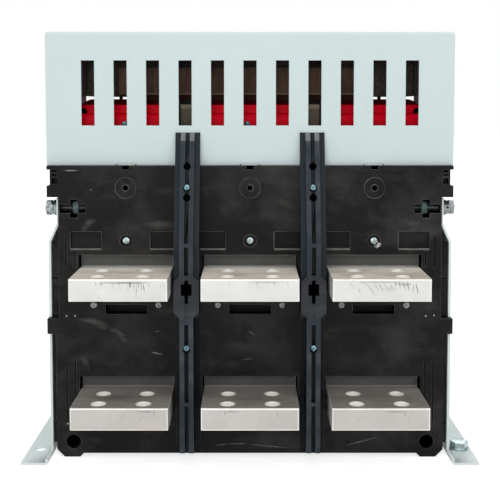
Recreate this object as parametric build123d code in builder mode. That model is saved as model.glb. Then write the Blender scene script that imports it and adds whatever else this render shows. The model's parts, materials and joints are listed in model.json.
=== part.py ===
from build123d import *
import os

# Three-pole low-voltage air circuit breaker, fixed type, with horizontal rear terminals.
# The terminal side faces -Y, +X is to the right seen from there, +Z is up.
# The origin is on the floor plane of the feet, under the middle of the object.

os.makedirs("parts", exist_ok=True)

# Overall layout, mm
overall_depth = 323.0
pole_pitch = 115.0
seat_gap = 0.3

# Depth stations
bar_reach = 57.0
rear_half_depth = 94.5
front_half_depth = 100.0

# Moulded rear half
body_half_width = 181.0
waist_half_width = 177.6
ear_half_width = 188.0
louvre_half_width = 185.0
tab_half_width = 189.0
body_base = 4.0
heel_base = 0.5
heel_inner_x = 156.0
base_chamfer = 7.0
waist_z = 124.5
tab_height = 14.4
tab_depth = 40.0
ear_base = 245.3
ear_height = 10.7
flange_height = 3.6
flange_top = 274.5
rim_height = 8.5
louvre_x = 178.0
louvre_height = 1.9
louvre_pitch = 3.7
louvre_z = 269.7
louvre_count = 2
louvre_pocket_z = 260.4
louvre_pocket_height = 5.6
louvre_depth = 8.0
louvre_wall = 1.5
catch_width = 6.8
catch_height = 3.5
catch_depth = 5.0
groove_width = 1.6
groove_depth = 2.0
outer_groove_x = 171.0
inner_groove_x = 163.0
upper_groove_z = 195.0
upper_groove_height = 30.0
lower_groove_z = 62.0
lower_groove_height = 60.0

# Vented hood of folded sheet
hood_half_width = 189.0
hood_top = 398.0
hood_sheet = 1.5
hood_bend = 3.0
hood_depth = 150.0
hood_lead = 6.0
hood_lip = 26.0
hood_return = 12.0
hood_clearance = 0.5
hood_notch_width = 19.6
hood_notch_height = 1.6
vent_count = 11
vent_pitch = 30.0
vent_width = 12.0
vent_height = 60.0
vent_base = 311.5

# Terminal bars
bar_width = 86.4
bar_thick = 20.0
upper_bar_z = 159.3
lower_bar_z = 45.0
window_recess = 9.5
upstand_height = 11.0
upstand_thick = 8.0
window_clearance = 1.3
bar_hole_dia = 13.5
bar_hole_pitch_x = 40.0
bar_hole_pitch_y = 30.0
bar_hole_inset = 13.0
bar_edge = 0.8

# Interphase rails
rail_width = 22.8
rail_ridge = 4.4
rail_groove = 3.8
rail_reach = 28.0
rail_step = 4.0
rail_groove_depth = 7.0
rail_top_z = 305.0
rail_top_reach = 5.0
rail_tip_height = 7.5
rail_tip_web = 1.5
rail_groove_web = 0.8
rail_slope_z = 204.0
rail_boss_base = 138.3
rail_boss_height = 38.6
rail_boss_corner = 5.5
rail_boss_groove = 1.2
rail_low_step = 26.0
rail_foot_z = 14.0
rail_square_width = 9.8
rail_square_height = 10.9
rail_square_z = 164.0
rail_cross_width = 3.4
rail_cross_height = 21.4
rail_cross_z = 161.9
rail_square_depth = 10.0
rail_rib_height = 3.0
rail_rib_zs = [204.2, 136.8, 133.9, 59.0]
rail_hole_dia = 7.0
rail_hole_depth = 6.0
rail_hole_zs = [274.3, 254.3, 246.3, 109.5]

# Moulded details of the rear face
ring_z = 254.0
ring_dia = 20.8
ring_relief = 0.6
ring_hole_dia = 6.5
screw_z = 204.7
counterbore_dia = 11.0
counterbore_depth = 3.0
recess_width = 28.4
recess_height = 15.1
recess_depth = 2.5
recess_offset = 37.0
recess_z = 205.5
nut_slot_x = 164.3
nut_slot_z = 234.5
nut_slot_width = 24.2
nut_slot_height = 8.1
nut_pocket_width = 7.0
nut_pocket_height = 17.0
nut_pocket_depth = 22.0
nut_pocket_x = 163.0
under_slot_width = 39.0
under_slot_height = 9.0
under_slot_drop = 14.3
under_slot_depth = 12.0
base_hole_dia = 13.6
base_hole_x = 165.5
base_hole_z = 15.0
base_hole_depth = 30.0

# Side plates with feet
plate_sheet = 2.5
plate_joggle = 7.9
plate_joggle_drop = 24.0
plate_joggle_rise = 17.0
plate_top_z = 244.0
plate_rear_inset = 4.5
plate_depth = 190.0
plate_top_depth = 150.0
plate_bend = 3.0
foot_out = 23.0
foot_overhang = 25.0
foot_length = 225.0
foot_hole_dia = 11.0
foot_hole_pitch_x = 400.0
foot_hole_pitch_y = 176.0
foot_hole_inset = 37.0
plate_bolt_dia = 9.0
plate_bolt_inset = 10.0
plate_bolt_pitch = 118.0
tab_clearance = 0.5

# Arc chutes
chute_width = 92.0
chute_depth = 112.0
chute_inset = 12.0
chute_top = 336.0
chute_rim_top = 330.5
chute_slope_depth = 6.5
chute_corner = 6.0
chute_step_z = 323.0
chute_step_depth = 6.5
chute_shoulder = 12.0
grid_gap = 3.0
grid_top = 386.0
grid_cheek = 3.0
grid_width = 88.0
grid_post = 6.0
grid_post_pitch = 40.0
splitter_count = 9
splitter_thick = 2.0
board_base = 334.5
board_height = 31.3
board_offset = 2.0
board_thick = 2.0
board_width = 240.0
board_x = -4.0
board_notch_width = 13.0
board_notch_height = 6.5
barrier_thick = 20.0
barrier_top = 380.0
strip_width = 15.0
strip_thick = 3.0
strip_top = 331.0

# Front half, fascia and controls
front_half_width = 174.0
front_base = 6.0
front_corner = 3.0
fascia_half_width = 150.0
fascia_base = 14.0
fascia_top = 276.0
fascia_corner = 10.0
fascia_edge = 4.0
panel_width = 122.0
panel_height = 214.0
panel_x = 62.0
panel_z = 146.0
panel_recess = 14.0
panel_thick = 4.0
unit_width = 96.0
unit_height = 214.0
unit_x = -72.0
unit_inset = 3.0
screen_width = 62.0
screen_height = 36.0
screen_depth = 1.5
screen_z = 205.0
key_size = 9.0
key_proud = 1.2
key_pitch = 20.0
key_z = 150.0
handle_width = 26.0
handle_height = 150.0
handle_thick = 12.0
handle_edge = 3.0
handle_rim = 14.0
handle_dish = 4.0
handle_x = 96.0
button_width = 24.0
button_height = 20.0
button_x = 34.0
button_proud = 5.0
on_button_z = 126.0
off_button_z = 158.0
window_width = 24.0
window_height = 12.0
window_proud = 1.5
item_edge = 0.8
window_x = 34.0
charge_window_z = 96.0
state_window_z = 188.0
block_half_width = 130.0
block_height = 52.0
block_depth = 34.0
block_ways = 12
block_gap = 1.0
block_step = 18.0
block_slot_width = 3.6
block_slot_height = 10.0
block_slot_depth = 6.0
block_slot_z = 20.0

# Places that follow from the sizes above
pole_places = [-pole_pitch, 0.0, pole_pitch]
pole_names = ["left", "middle", "right"]
bar_end_y = -overall_depth / 2
front_y = overall_depth / 2
rear_y = bar_end_y + bar_reach
split_y = rear_y + rear_half_depth
fascia_y = split_y + front_half_depth
rim_top = flange_top + rim_height
hood_rear_y = rear_y + hood_lead
hood_front_y = hood_rear_y + hood_depth
chute_y = hood_rear_y + chute_inset
grid_rear_y = chute_y + chute_step_depth + chute_slope_depth
board_y = grid_rear_y - board_offset
window_floor_y = rear_y + window_recess + upstand_thick
bar_levels = {"upper": upper_bar_z, "lower": lower_bar_z}
rim_half_width = hood_half_width - hood_sheet - hood_clearance


def save(piece, name):
    piece.part.label = name
    export_step(piece.part, f"parts/{name}.step")


def sides(profile):
    """Mirror the right-hand outline points to the left and close them."""
    return profile + [(-x, z) for x, z in reversed(profile)]


# Moulded rear half of the housing
housing_outline = sides([
    (heel_inner_x, body_base),
    (heel_inner_x + body_base - heel_base, heel_base),
    (body_half_width - base_chamfer, heel_base),
    (body_half_width, heel_base + base_chamfer),
    (body_half_width, waist_z),
    (waist_half_width, waist_z),
    (waist_half_width, ear_base),
    (ear_half_width, ear_base),
    (ear_half_width, ear_base + ear_height),
    (louvre_half_width, ear_base + ear_height),
    (louvre_half_width, flange_top - flange_height),
    (ear_half_width, flange_top - flange_height),
    (ear_half_width, flange_top),
    (rim_half_width, flange_top),
    (rim_half_width, rim_top),
])

with BuildPart() as rear_housing:
    with BuildSketch(Plane.XZ.offset(-rear_y)):
        with BuildLine():
            Polyline(housing_outline, close=True)
        make_face()
    extrude(amount=-rear_half_depth)
    # The hood's skirt passes behind the flange, so the rim is set in
    with BuildSketch(Plane.XZ.offset(-rear_y)):
        with Locations((0, flange_top + rim_height / 2)):
            Rectangle(2 * ear_half_width + 2, rim_height)
    extrude(amount=-(hood_lead + hood_sheet + hood_clearance), mode=Mode.SUBTRACT)
    # Side tabs
    with BuildSketch(Plane.XZ.offset(-rear_y)):
        with Locations((0, waist_z)):
            Rectangle(2 * tab_half_width, tab_height)
    extrude(amount=-tab_depth)
    # Terminal windows, with a floor that the terminals stand against
    for base in bar_levels.values():
        window_height_total = bar_thick + upstand_height + 2 * window_clearance
        with BuildSketch(Plane.XZ.offset(-rear_y)):
            with Locations([(x, base - window_clearance + window_height_total / 2) for x in pole_places]):
                Rectangle(bar_width + 2 * window_clearance, window_height_total)
        extrude(amount=-(window_recess + upstand_thick), mode=Mode.SUBTRACT)
    # Shallow recesses each side of the counterbored screw
    with BuildSketch(Plane.XZ.offset(-rear_y)):
        for x in pole_places:
            with Locations((x - recess_offset, recess_z), (x + recess_offset, recess_z)):
                Rectangle(recess_width, recess_height)
    extrude(amount=-recess_depth, mode=Mode.SUBTRACT)
    with BuildSketch(Plane.XZ.offset(-rear_y)):
        with Locations([(x, screw_z) for x in pole_places]):
            Circle(counterbore_dia / 2)
    extrude(amount=-counterbore_depth, mode=Mode.SUBTRACT)
    # Slots under the upper bars
    with BuildSketch(Plane.XZ.offset(-rear_y)):
        with Locations([(x, upper_bar_z - under_slot_drop - under_slot_height / 2) for x in pole_places]):
            Rectangle(under_slot_width, under_slot_height)
    extrude(amount=-under_slot_depth, mode=Mode.SUBTRACT)
    # Nut pockets for the side-plate bolts
    with BuildSketch(Plane.XZ.offset(-rear_y)):
        for side in (-1, 1):
            with Locations((side * nut_slot_x, nut_slot_z)):
                Rectangle(nut_slot_width, nut_slot_height)
            with Locations((side * nut_pocket_x, nut_slot_z)):
                Rectangle(nut_pocket_width, nut_pocket_height)
    extrude(amount=-nut_pocket_depth, mode=Mode.SUBTRACT)
    # Blind holes at the foot of the outer poles
    with BuildSketch(Plane.XZ.offset(-rear_y)):
        with Locations((-base_hole_x, base_hole_z), (base_hole_x, base_hole_z)):
            Circle(base_hole_dia / 2)
    extrude(amount=-base_hole_depth, mode=Mode.SUBTRACT)
    # Low round pads with a blind hole
    with BuildSketch(Plane.XZ.offset(-rear_y)):
        with Locations([(x, ring_z) for x in pole_places]):
            Circle(ring_dia / 2)
    extrude(amount=ring_relief)
    with BuildSketch(Plane.XZ.offset(-(rear_y - ring_relief))):
        with Locations([(x, ring_z) for x in pole_places]):
            Circle(ring_hole_dia / 2)
    extrude(amount=-(ring_relief + counterbore_depth), mode=Mode.SUBTRACT)
    # Louvre slots and a square pocket in each shoulder
    louvre_width = louvre_half_width - louvre_wall - louvre_x
    louvre_middle = louvre_z - (louvre_count - 1) * louvre_pitch / 2
    with BuildSketch(Plane.XZ.offset(-rear_y)):
        for side in (-1, 1):
            with Locations((side * (louvre_x + louvre_width / 2), louvre_middle)):
                with GridLocations(0, louvre_pitch, 1, louvre_count):
                    Rectangle(louvre_width, louvre_height)
            with Locations((side * (louvre_x + louvre_width / 2), louvre_pocket_z)):
                Rectangle(louvre_width, louvre_pocket_height)
    extrude(amount=-louvre_depth, mode=Mode.SUBTRACT)
    # Narrow grooves down the outer edges
    with BuildSketch(Plane.XZ.offset(-rear_y)):
        for side in (-1, 1):
            for groove_x in (outer_groove_x, inner_groove_x):
                with Locations((side * groove_x, upper_groove_z)):
                    Rectangle(groove_width, upper_groove_height)
                with Locations((side * groove_x, lower_groove_z)):
                    Rectangle(groove_width, lower_groove_height)
    extrude(amount=-groove_depth, mode=Mode.SUBTRACT)
    # Catches for the hood in the flange, one at each pole
    with BuildSketch(Plane.XZ.offset(-rear_y)):
        with Locations([(x, flange_top - catch_height / 2) for x in pole_places]):
            Rectangle(catch_width, catch_height)
    extrude(amount=-catch_depth, mode=Mode.SUBTRACT)
    # Walls between the poles, above the rim: low in front of the board, tall behind it
    for wall_y, wall_top in ((chute_y, strip_top), (board_y, barrier_top)):
        with BuildSketch(Plane.XZ.offset(-wall_y)):
            with Locations((0, (rim_top + wall_top) / 2)):
                with GridLocations(pole_pitch, 0, 2, 1):
                    Rectangle(barrier_thick, wall_top - rim_top)
        extrude(amount=-(split_y - wall_y))
save(rear_housing, "rear_housing")

# Front half of the housing, which carries the mechanism
with BuildPart() as front_housing:
    with BuildSketch(Plane.XZ.offset(-split_y)) as front_outline:
        with Locations((0, (front_base + rim_top) / 2)):
            Rectangle(2 * front_half_width, rim_top - front_base)
        chamfer(front_outline.vertices(), front_corner)
    extrude(amount=-front_half_depth)
save(front_housing, "front_housing")

# Sheet-metal hood with louvre slots over the arc chutes
with BuildPart() as vented_cover:
    with BuildSketch(Plane.XY.offset(flange_top)):
        with Locations((0, hood_rear_y + hood_depth / 2)):
            Rectangle(2 * hood_half_width, hood_depth)
    extrude(amount=hood_top - flange_top)
    fillet(vented_cover.faces().sort_by(Axis.Z)[-1].edges(), hood_bend)
    offset(amount=-hood_sheet, openings=vented_cover.faces().sort_by(Axis.Z)[0])
    with BuildSketch(Plane.XZ.offset(-hood_rear_y)):
        with Locations((0, vent_base + vent_height / 2)):
            with GridLocations(vent_pitch, 0, vent_count, 1):
                Rectangle(vent_width, vent_height)
    extrude(amount=-2 * hood_sheet, mode=Mode.SUBTRACT)
    with BuildSketch(Plane.XZ.offset(-hood_front_y)):
        with Locations((0, (flange_top + hood_top - hood_lip) / 2)):
            Rectangle(2 * (hood_half_width - hood_return), hood_top - hood_lip - flange_top)
    extrude(amount=2 * hood_sheet, mode=Mode.SUBTRACT)
    # Shallow notches in the lower edge, over the catches
    with BuildSketch(Plane.XZ.offset(-hood_rear_y)):
        with Locations([(x, flange_top + hood_notch_height / 2) for x in pole_places]):
            Trapezoid(hood_notch_width, hood_notch_height, 45)
    extrude(amount=-hood_sheet, mode=Mode.SUBTRACT)
save(vented_cover, "vented_cover")

# Horizontal terminal bars with an upstand that closes the window above them
for level, base in bar_levels.items():
    for pole, x in zip(pole_names, pole_places):
        with BuildPart() as terminal:
            with BuildSketch(Plane.YZ.offset(x - bar_width / 2)):
                with BuildLine():
                    Polyline(
                        (bar_end_y, base),
                        (window_floor_y, base),
                        (window_floor_y, base + bar_thick + upstand_height),
                        (window_floor_y - upstand_thick, base + bar_thick + upstand_height),
                        (window_floor_y - upstand_thick, base + bar_thick),
                        (bar_end_y, base + bar_thick),
                        close=True,
                    )
                make_face()
            extrude(amount=bar_width)
            chamfer(terminal.faces().sort_by(Axis.Y)[0].edges(), bar_edge)
            hole_y = bar_end_y + bar_hole_inset + bar_hole_pitch_y / 2
            with Locations((x, hole_y, base + bar_thick)):
                with GridLocations(bar_hole_pitch_x, bar_hole_pitch_y, 2, 2):
                    Hole(bar_hole_dia / 2, depth=bar_thick)
        save(terminal, f"{level}_terminal_{pole}")


def rail_profile(drop):
    """Side outline of an interphase rail whose front lies back by drop."""
    top_front = hood_rear_y - rail_top_reach + min(drop, rail_top_reach - rail_tip_web)
    slope_front = rear_y - rail_reach + drop
    tip_share = rail_tip_height / (rail_top_z - rail_slope_z)
    return [
        (hood_rear_y - seat_gap, rail_top_z),
        (hood_rear_y - rail_tip_web, rail_top_z),
        (top_front - tip_share * (top_front - slope_front), rail_top_z - rail_tip_height),
        (slope_front, rail_slope_z),
        (slope_front, rail_foot_z),
        (rear_y, rail_foot_z),
        (rear_y, flange_top),
        (hood_rear_y - seat_gap, flange_top),
    ]


# Interphase rails: two ridges with a groove between, and a wide boss halfway up
for side, rail_name in ((-1, "barrier_rail_left"), (1, "barrier_rail_right")):
    rail_x = side * pole_pitch / 2
    with BuildPart() as rail:
        for drop, width in ((rail_step, rail_width), (0.0, 2 * rail_ridge + rail_groove)):
            with BuildSketch(Plane.YZ.offset(rail_x - width / 2)):
                with BuildLine():
                    Polyline(rail_profile(drop), close=True)
                make_face()
            extrude(amount=width)
        with BuildSketch(Plane.YZ.offset(rail_x - rail_groove / 2)):
            with BuildLine():
                Polyline(
                    (hood_rear_y - rail_top_reach - 1, rail_top_z + 1),
                    (rear_y - rail_reach - 1, rail_slope_z),
                    (rear_y - rail_reach - 1, rail_foot_z - 1),
                    (rear_y - rail_reach + rail_groove_depth, rail_foot_z - 1),
                    (rear_y - rail_reach + rail_groove_depth, rail_slope_z),
                    (hood_rear_y - rail_groove_web, rail_top_z + 1),
                    close=True,
                )
            make_face()
        extrude(amount=rail_groove, mode=Mode.SUBTRACT)
        # Below the boss the flanks fall back almost to the housing
        flank = (rail_width - 2 * rail_ridge - rail_groove) / 2
        for edge in (-1, 1):
            with BuildSketch(Plane.XZ.offset(-(rear_y - rail_reach + rail_low_step))):
                flank_x = rail_x + edge * (rail_width - flank) / 2
                with Locations((flank_x, (rail_foot_z + rail_boss_base) / 2)):
                    Rectangle(flank, rail_boss_base - rail_foot_z)
            extrude(amount=rail_reach, mode=Mode.SUBTRACT)
        with BuildSketch(Plane.XZ.offset(-(rear_y - rail_reach))) as boss:
            with Locations((rail_x, rail_boss_base + rail_boss_height / 2)):
                Rectangle(rail_width, rail_boss_height)
            chamfer(boss.vertices(), rail_boss_corner)
        extrude(amount=-rail_reach)
        # A shallow groove carries the line of the ridges over the boss
        with BuildSketch(Plane.XZ.offset(-(rear_y - rail_reach))):
            with Locations((rail_x, rail_boss_base + rail_boss_height / 2)):
                Rectangle(rail_groove, rail_boss_height)
        extrude(amount=-rail_boss_groove, mode=Mode.SUBTRACT)
        # Cross-shaped pocket in the boss
        with BuildSketch(Plane.XZ.offset(-(rear_y - rail_reach))):
            with Locations((rail_x, rail_square_z)):
                Rectangle(rail_square_width, rail_square_height)
            with Locations((rail_x, rail_cross_z)):
                Rectangle(rail_cross_width, rail_cross_height)
        extrude(amount=-rail_square_depth, mode=Mode.SUBTRACT)
        # Ribs that bridge the groove
        with BuildSketch(Plane.XZ.offset(-(rear_y - rail_reach))):
            with Locations([(rail_x, z) for z in rail_rib_zs]):
                Rectangle(rail_groove, rail_rib_height)
        extrude(amount=-rail_groove_depth)
        # Blind screw holes in the slope and in the ridges below the boss
        for z in rail_hole_zs:
            share = min((rail_top_z - z) / (rail_top_z - rail_slope_z), 1.0)
            hole_y = hood_rear_y - rail_top_reach - share * (hood_lead - rail_top_reach + rail_reach)
            with BuildSketch(Plane.XZ.offset(-(hole_y - 1))):
                with Locations((rail_x, z)):
                    Circle(rail_hole_dia / 2)
            extrude(amount=-(rail_hole_depth + 1), mode=Mode.SUBTRACT)
    save(rail, rail_name)

# Side plates: folded sheet with a joggle, a notch round the tab and a foot turned outwards
plate_rear_y = rear_y + plate_rear_inset
plate_low_x = waist_half_width + plate_joggle
plate_joggle_top = plate_top_z - plate_joggle_drop
plate_joggle_base = plate_joggle_top - plate_joggle_rise
for side, plate_name in ((-1, "side_plate_left"), (1, "side_plate_right")):
    with BuildPart() as plate:
        with BuildSketch(Plane.XZ.offset(-(plate_rear_y - foot_overhang))) as section:
            with BuildLine():
                Polyline(
                    (side * waist_half_width, plate_top_z),
                    (side * waist_half_width, plate_joggle_top),
                    (side * plate_low_x, plate_joggle_base),
                    (side * plate_low_x, 0),
                    (side * (plate_low_x + plate_sheet + foot_out), 0),
                    (side * (plate_low_x + plate_sheet + foot_out), plate_sheet),
                    (side * (plate_low_x + plate_sheet), plate_sheet),
                    (side * (plate_low_x + plate_sheet), plate_joggle_base),
                    (side * (waist_half_width + plate_sheet), plate_joggle_top),
                    (side * (waist_half_width + plate_sheet), plate_top_z),
                    close=True,
                )
            make_face()
            inner = section.vertices().filter_by_position(Axis.Y, -0.01, 0.01).sort_by(Axis.X)
            heel = inner[0] if side > 0 else inner[-1]
            fillet(heel, plate_bend)
        extrude(amount=-max(foot_length, foot_overhang + plate_depth))
        # Side outline: the foot runs on past the upright, which is notched round the tab
        with BuildSketch(Plane.YZ.offset(side * (waist_half_width - 1))):
            with BuildLine():
                Polyline(
                    (plate_rear_y - foot_overhang, 0),
                    (plate_rear_y - foot_overhang + foot_length, 0),
                    (plate_rear_y - foot_overhang + foot_length, plate_sheet + plate_bend),
                    (plate_rear_y - foot_overhang, plate_sheet + plate_bend),
                    close=True,
                )
            make_face()
            with BuildLine():
                Polyline(
                    (plate_rear_y, plate_sheet),
                    (plate_rear_y + plate_depth, plate_sheet),
                    (plate_rear_y + plate_depth, plate_joggle_base - plate_bend),
                    (plate_rear_y + plate_top_depth, plate_joggle_top + plate_bend),
                    (plate_rear_y + plate_top_depth, plate_top_z),
                    (plate_rear_y, plate_top_z),
                    close=True,
                )
            make_face()
            with Locations((rear_y + tab_depth / 2 + tab_clearance, waist_z)):
                Rectangle(tab_depth, tab_height + 2 * tab_clearance, mode=Mode.SUBTRACT)
        extrude(amount=side * (plate_joggle + plate_sheet + foot_out + 2), mode=Mode.INTERSECT)
        # Bolt holes at the top and fixing holes in the foot
        with BuildSketch(Plane.YZ.offset(side * waist_half_width)):
            for bolt_number in range(2):
                bolt_y = plate_rear_y + plate_bolt_inset + bolt_number * plate_bolt_pitch
                with Locations((bolt_y, nut_slot_z)):
                    Circle(plate_bolt_dia / 2)
        extrude(amount=side * plate_sheet, mode=Mode.SUBTRACT)
        foot_hole_y = plate_rear_y - foot_overhang + foot_hole_inset + foot_hole_pitch_y / 2
        with Locations((side * foot_hole_pitch_x / 2, foot_hole_y, plate_sheet)):
            with GridLocations(0, foot_hole_pitch_y, 1, 2):
                Hole(foot_hole_dia / 2, depth=plate_sheet)
    save(plate, plate_name)

# Arc chutes: a red moulded cap with a sloping top edge, then cheeks that hold the splitter plates
grid_depth = chute_depth - chute_step_depth - chute_slope_depth
grid_y = grid_rear_y + grid_depth / 2
grid_base = chute_top + grid_gap
for pole, x in zip(pole_names, pole_places):
    with BuildPart() as chute:
        with BuildSketch(Plane.YZ.offset(x - chute_width / 2)):
            with BuildLine():
                Polyline(
                    (chute_y, rim_top),
                    (chute_y + chute_depth, rim_top),
                    (chute_y + chute_depth, chute_top),
                    (grid_rear_y, chute_top),
                    (chute_y + chute_step_depth, chute_rim_top),
                    (chute_y + chute_step_depth, chute_step_z),
                    (chute_y, chute_step_z),
                    close=True,
                )
            make_face()
        extrude(amount=chute_width)
        # The step over the exhaust side is rounded
        step_edges = chute.edges().filter_by(Axis.X)
        step_edges = step_edges.filter_by_position(Axis.Z, chute_step_z - 1, chute_step_z + 1)
        fillet(step_edges.sort_by(Axis.Y)[0], chute_corner)
        # Rounded shoulders at the sides
        for edge in (-1, 1):
            with BuildSketch(Plane.XZ.offset(-chute_y)):
                with Locations((x + edge * (chute_width - chute_shoulder) / 2, chute_top - chute_shoulder / 2)):
                    Rectangle(chute_shoulder, chute_shoulder)
                with Locations((x + edge * (chute_width / 2 - chute_shoulder), chute_top - chute_shoulder)):
                    Circle(chute_shoulder, mode=Mode.SUBTRACT)
            extrude(amount=-chute_depth, mode=Mode.SUBTRACT)
    save(chute, f"arc_chute_{pole}")

    with BuildPart() as grid:
        for edge in (-1, 1):
            with BuildSketch(Plane.XY.offset(grid_base)):
                with Locations((x + edge * (grid_width - grid_cheek) / 2, grid_y)):
                    Rectangle(grid_cheek, grid_depth)
            extrude(amount=grid_top - grid_base)
        # Posts stand under the first and the last splitter
        splitter_pitch = (grid_depth - splitter_thick) / splitter_count
        with BuildSketch(Plane.XY.offset(chute_top)):
            with Locations((x, grid_y)):
                with GridLocations(grid_post_pitch, (splitter_count - 1) * splitter_pitch, 2, 2):
                    Rectangle(grid_cheek, grid_post)
        extrude(amount=grid_gap)
        for number in range(splitter_count):
            splitter_y = grid_y - grid_depth / 2 + (number + 0.5) * splitter_pitch
            with BuildSketch(Plane.XZ.offset(-splitter_y)):
                with Locations((x, (grid_base + grid_top) / 2)):
                    Rectangle(grid_width - grid_cheek, grid_top - grid_base)
            extrude(amount=-splitter_thick)
    save(grid, f"arc_grid_{pole}")

# Fibre board in front of the splitter plates, notched at its lower corners
with BuildPart() as insulating_board:
    with BuildSketch(Plane.XZ.offset(-board_y)):
        with Locations((board_x, board_base + board_height / 2)):
            Rectangle(board_width, board_height)
        with Locations((board_x, board_base + board_notch_height / 2)):
            with GridLocations(board_width - board_notch_width, 0, 2, 1):
                Rectangle(board_notch_width, board_notch_height, mode=Mode.SUBTRACT)
    extrude(amount=board_thick)
save(insulating_board, "insulating_board")

# Fibre strips that stand against the walls between the poles
for side, strip_name in ((-1, "phase_barrier_left"), (1, "phase_barrier_right")):
    with BuildPart() as strip:
        with BuildSketch(Plane.XZ.offset(-chute_y)):
            with Locations((side * pole_pitch / 2, (rim_top + strip_top) / 2)):
                Rectangle(strip_width, strip_top - rim_top)
        extrude(amount=strip_thick)
    save(strip, strip_name)

# Front fascia: a moulded cover with two recesses, for the trip unit and the controls
with BuildPart() as front_fascia:
    with BuildSketch(Plane.XZ.offset(-fascia_y)) as fascia_outline:
        with Locations((0, (fascia_base + fascia_top) / 2)):
            RectangleRounded(2 * fascia_half_width, fascia_top - fascia_base, fascia_corner)
    extrude(amount=-(front_y - fascia_y))
    chamfer(front_fascia.faces().sort_by(Axis.Y)[-1].edges(), fascia_edge)
    with BuildSketch(Plane.XZ.offset(-front_y)):
        with Locations((panel_x, panel_z)):
            Rectangle(panel_width, panel_height)
        with Locations((unit_x, panel_z)):
            Rectangle(unit_width, unit_height)
    extrude(amount=panel_recess + panel_thick, mode=Mode.SUBTRACT)
save(front_fascia, "front_fascia")
panel_face_y = front_y - panel_recess
with BuildPart() as operating_panel:
    with BuildSketch(Plane.XZ.offset(-(panel_face_y - panel_thick))):
        with Locations((panel_x, panel_z)):
            Rectangle(panel_width - 2 * seat_gap, panel_height - 2 * seat_gap)
    extrude(amount=-panel_thick)
save(operating_panel, "operating_panel")

with BuildPart() as trip_unit:
    with BuildSketch(Plane.XZ.offset(-(panel_face_y - panel_thick))):
        with Locations((unit_x, panel_z)):
            Rectangle(unit_width - 2 * seat_gap, unit_height - 2 * seat_gap)
    extrude(amount=-(panel_thick + panel_recess - unit_inset))
    with BuildSketch(Plane.XZ.offset(-(front_y - unit_inset))):
        with Locations((unit_x, screen_z)):
            Rectangle(screen_width, screen_height)
    extrude(amount=screen_depth, mode=Mode.SUBTRACT)
    with BuildSketch(Plane.XZ.offset(-(front_y - unit_inset))):
        with Locations((unit_x, key_z)):
            with GridLocations(key_pitch, key_pitch, 3, 2):
                Rectangle(key_size, key_size)
    extrude(amount=-key_proud)
save(trip_unit, "trip_unit")

# Push buttons and indicator windows that stand on the operating panel
panel_items = [
    ("on_button", button_x, on_button_z, button_width, button_height, button_proud),
    ("off_button", button_x, off_button_z, button_width, button_height, button_proud),
    ("charge_window", window_x, charge_window_z, window_width, window_height, window_proud),
    ("state_window", window_x, state_window_z, window_width, window_height, window_proud),
]
for item_name, item_x, item_z, item_width, item_height, item_proud in panel_items:
    with BuildPart() as item:
        with BuildSketch(Plane.XZ.offset(-panel_face_y)):
            with Locations((item_x, item_z)):
                Rectangle(item_width, item_height)
        extrude(amount=-item_proud)
        chamfer(item.faces().sort_by(Axis.Y)[-1].edges(), item_edge)
    save(item, item_name)

# Charging handle: a lever folded flat against the panel, waisted towards its pivot
with BuildPart() as charging_handle:
    with BuildSketch(Plane.XZ.offset(-panel_face_y)):
        with Locations((handle_x, panel_z)):
            SlotOverall(handle_height, handle_width, rotation=90)
    extrude(amount=-handle_thick)
    grip = charging_handle.faces().sort_by(Axis.Y)[-1]
    chamfer(grip.edges(), handle_edge)
    # Thumb recess along the grip
    with BuildSketch(Plane.XZ.offset(-(panel_face_y + handle_thick))):
        with Locations((handle_x, panel_z)):
            SlotOverall(handle_height - handle_rim, handle_width - handle_rim, rotation=90)
    extrude(amount=handle_dish, mode=Mode.SUBTRACT)
save(charging_handle, "charging_handle")

# Secondary terminal blocks on top of the front half, with a slot at each way
block_width = (2 * block_half_width - 2 * block_gap) / 3
block_y = fascia_y - block_depth
for pole, number in zip(pole_names, (-1, 0, 1)):
    block_x = number * (block_width + block_gap)
    with BuildPart() as block:
        with BuildSketch(Plane.YZ.offset(block_x - block_width / 2)):
            with BuildLine():
                Polyline(
                    (block_y, rim_top),
                    (block_y + block_depth, rim_top),
                    (block_y + block_depth, rim_top + block_height - block_step),
                    (block_y + block_depth / 2, rim_top + block_height - block_step),
                    (block_y + block_depth / 2, rim_top + block_height),
                    (block_y, rim_top + block_height),
                    close=True,
                )
            make_face()
        extrude(amount=block_width)
        with BuildSketch(Plane.XZ.offset(-(block_y + block_depth))):
            with Locations((block_x, rim_top + block_slot_z)):
                with GridLocations(block_width / block_ways, 0, block_ways, 1):
                    Rectangle(block_slot_width, block_slot_height)
        extrude(amount=block_slot_depth, mode=Mode.SUBTRACT)
    save(block, f"secondary_block_{pole}")
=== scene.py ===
# %% [markdown]
# # An air circuit breaker, seen from its terminal side
# This notebook dresses the solid model of a low-voltage air circuit breaker.
# The model gives every large piece its place. What is added here is what the eye looks for:
# moulding grain, powder coat, scratched plating, and the bolts and screws that hold it all.

# %% Load the frame
import json
import math

import bmesh
import bpy
from mathutils import Matrix, Vector


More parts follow.
